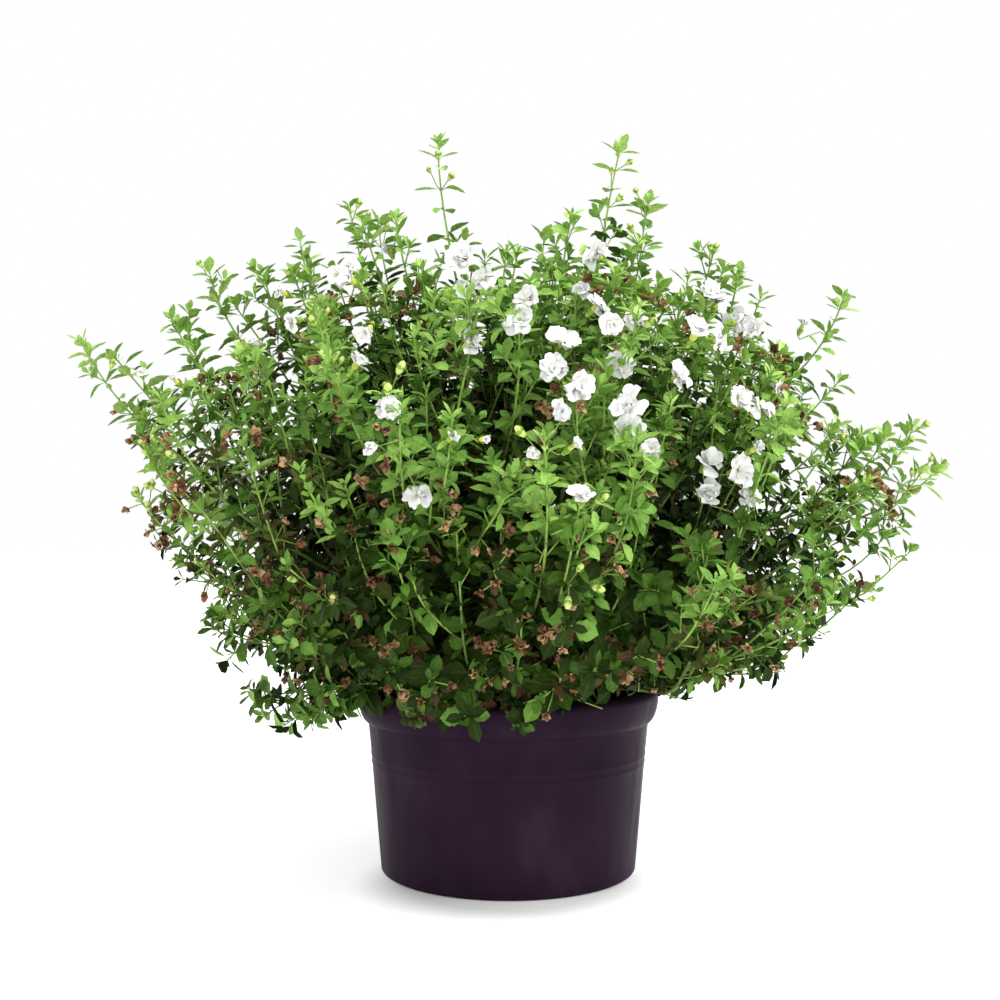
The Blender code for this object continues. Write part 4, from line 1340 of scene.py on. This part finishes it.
while made[0] < SPENT[0] or made[1] < SPENT[1]:
    chosen, place, along, side, depth = chance_perch(draw)
    behind = int(place[1] > 0.0)
    if made[behind] >= SPENT[behind] or not 0.125 < place[2] < 0.39:
        continue
    if depth < (0.010 if place[2] < 0.27 else 0.028):
        continue
    if below_skyline(place) < 22.0:
        continue
    free_perches.remove(chosen)
    for member in range(draw.choice((1, 1, 1, 2, 2, 3))):
        lean = jitter(draw, 0.35)
        way = unit(along * 0.5 + side * draw.uniform(0.5, 1.2) + lean)
        end = place + way * draw.uniform(0.006, 0.014)
        add_stalk(place, unit(along + side), end, way)
        size = draw.uniform(0.0031, 0.0051)
        bed = "spent_cups" if draw.random() < 0.55 else "spent_brown"
        for number in range(8):
            turn = math.tau * number / 5 + draw.uniform(-0.35, 0.35)
            rise = draw.uniform(5.0, 75.0) if number < 5 else draw.uniform(50.0, 85.0)
            _, outward, face = opened(way, turn, rise)
            frame_of_lobe = blade_frame(end, outward, face + jitter(draw, 0.3))
            long = size * draw.uniform(0.7, 1.25)
            lobes[bed].append((frame_of_lobe, (long * 1.3, long, long * draw.uniform(-2.5, 2.5))))
        dark_beads.append(((end + way * 0.0008, *cross_ways(way), way), (0.0012, 0.0012, 0.0020)))
        made[behind] += 1


for name, slot, label, dark, light, roughness, parts in (
    ("buds", "buds", "buds", (0.46, 0.58, 0.13), (0.58, 0.66, 0.22), 0.5, [copies_of(bead, buds)]),
    (
        "spent_cups", "dry_flowers", "dry cups", (0.22, 0.120, 0.050), (0.54, 0.35, 0.17), 0.85,
        [copies_of(cup_lobe, lobes["spent_cups"])],
    ),
    (
        "spent_brown", "dry_flowers", "brown cups", (0.085, 0.036, 0.016), (0.29, 0.138, 0.058), 0.85,
        [copies_of(cup_lobe, lobes["spent_brown"])],
    ),
    (
        "spent_middles", "dry_flowers", "dry seed heads", (0.035, 0.016, 0.009), (0.10, 0.048, 0.025), 0.85,
        [copies_of(seed_head, dark_beads)],
    ),
    (
        "sepals", "green_stems", "sepals", (0.13, 0.28, 0.025), (0.22, 0.40, 0.05), 0.5,
        [copies_of(leaf_kinds["small"], sepals)],
    ),
    ("flower_stalks", "green_stems", "stalks", (0.16, 0.28, 0.04), (0.25, 0.38, 0.08), 0.55, stalks),
):
    flecked = varied_finish(
        label, light, roughness, (420.0, 3.0), ((0.38, dark), (0.64, light)), (0.3, 0.0004), 0.3
    )
    dress_in_pieces(name, flecked, parts)

# The floor is white and runs back under soft studio light: a broad light overhead and in front, and an even
# white surround. The floor glows as painted light, which washes out the crown's shadow on it, except in a
# painted shadow just in front of the pot's foot. The camera stands level with the crown, as for the
# photograph.
# Painted light and shadow on the floor: it glows outside a patch centred a little in front of the pot, and
# not at all inside it, so a painted shadow lies there.
PAINTED_FLOOR_LIGHT_AND_SHADOW = (0.0, 0.50)
PAINTED_SHADOW_REACH = (0.055, 0.100)
SHADE_MIDDLE = (0.0, -0.038, 0.0)

bpy.ops.mesh.primitive_plane_add(size=12.0, location=(0.0, 0.0, -0.0002))
floor = bpy.context.object
floor.name = "floor"
bpy.ops.object.transform_apply(location=True, rotation=True, scale=True)
glowing_floor_with_painted_shadow, tree, surface = new_finish("glowing floor with painted shadow", (0.85, 0.85, 0.85), 0.9, 0.0)
surface.inputs["Emission Color"].default_value = (1.0, 1.0, 1.0, 1.0)
place = tree.nodes.new("ShaderNodeTexCoord")
across = tree.nodes.new("ShaderNodeVectorMath")
across.operation = "DISTANCE"
across.inputs[1].default_value = SHADE_MIDDLE
tree.links.new(place.outputs["Object"], across.inputs[0])
# The glowing fades to nothing near the pot's front: a painted shadow.
floor_glow_and_painted_shadow = tree.nodes.new("ShaderNodeMapRange")
floor_glow_and_painted_shadow.interpolation_type = "SMOOTHSTEP"
set_inputs(floor_glow_and_painted_shadow, {"From Min": PAINTED_SHADOW_REACH[0], "From Max": PAINTED_SHADOW_REACH[1]})
set_inputs(floor_glow_and_painted_shadow, {"To Min": PAINTED_FLOOR_LIGHT_AND_SHADOW[0], "To Max": PAINTED_FLOOR_LIGHT_AND_SHADOW[1]})
tree.links.new(across.outputs["Value"], floor_glow_and_painted_shadow.inputs["Value"])
tree.links.new(floor_glow_and_painted_shadow.outputs["Result"], surface.inputs["Emission Strength"])
floor.data.materials.append(glowing_floor_with_painted_shadow)


def add_light(name, place, aim, size, power, colour=(1.0, 1.0, 1.0)):
    """A square soft light that faces a point."""
    bpy.ops.object.light_add(type="AREA", location=place)
    lamp = bpy.context.object
    lamp.name = name
    lamp.data.shape = "SQUARE"
    lamp.data.size = size
    lamp.data.energy = power
    lamp.data.color = colour
    lamp.rotation_euler = (Vector(aim) - Vector(place)).to_track_quat("-Z", "Y").to_euler()
    return lamp


add_light("key_light", (1.3, -0.9, 1.9), (0.0, 0.0, 0.25), 1.1, 46.0)
add_light("fill_light", (-1.5, -1.2, 1.0), (0.0, 0.0, 0.25), 1.0, 6.0)

surround = bpy.data.worlds.new("white surround")
surround.use_nodes = True
set_inputs(surround.node_tree.nodes["Background"], {"Color": (1.0, 1.0, 1.0, 1.0), "Strength": 1.0})
bpy.context.scene.world = surround
bpy.context.scene.view_settings.view_transform = "Standard"

bpy.ops.object.camera_add(location=CAMERA_PLACE)
camera = bpy.context.object
camera.name = "camera"
camera.rotation_euler = (CAMERA_AIM - CAMERA_PLACE).to_track_quat("-Z", "Y").to_euler()
camera.data.lens = CAMERA_LENS
camera.data.sensor_width = CAMERA_SENSOR
camera.data.clip_start = 0.05
bpy.context.scene.camera = camera
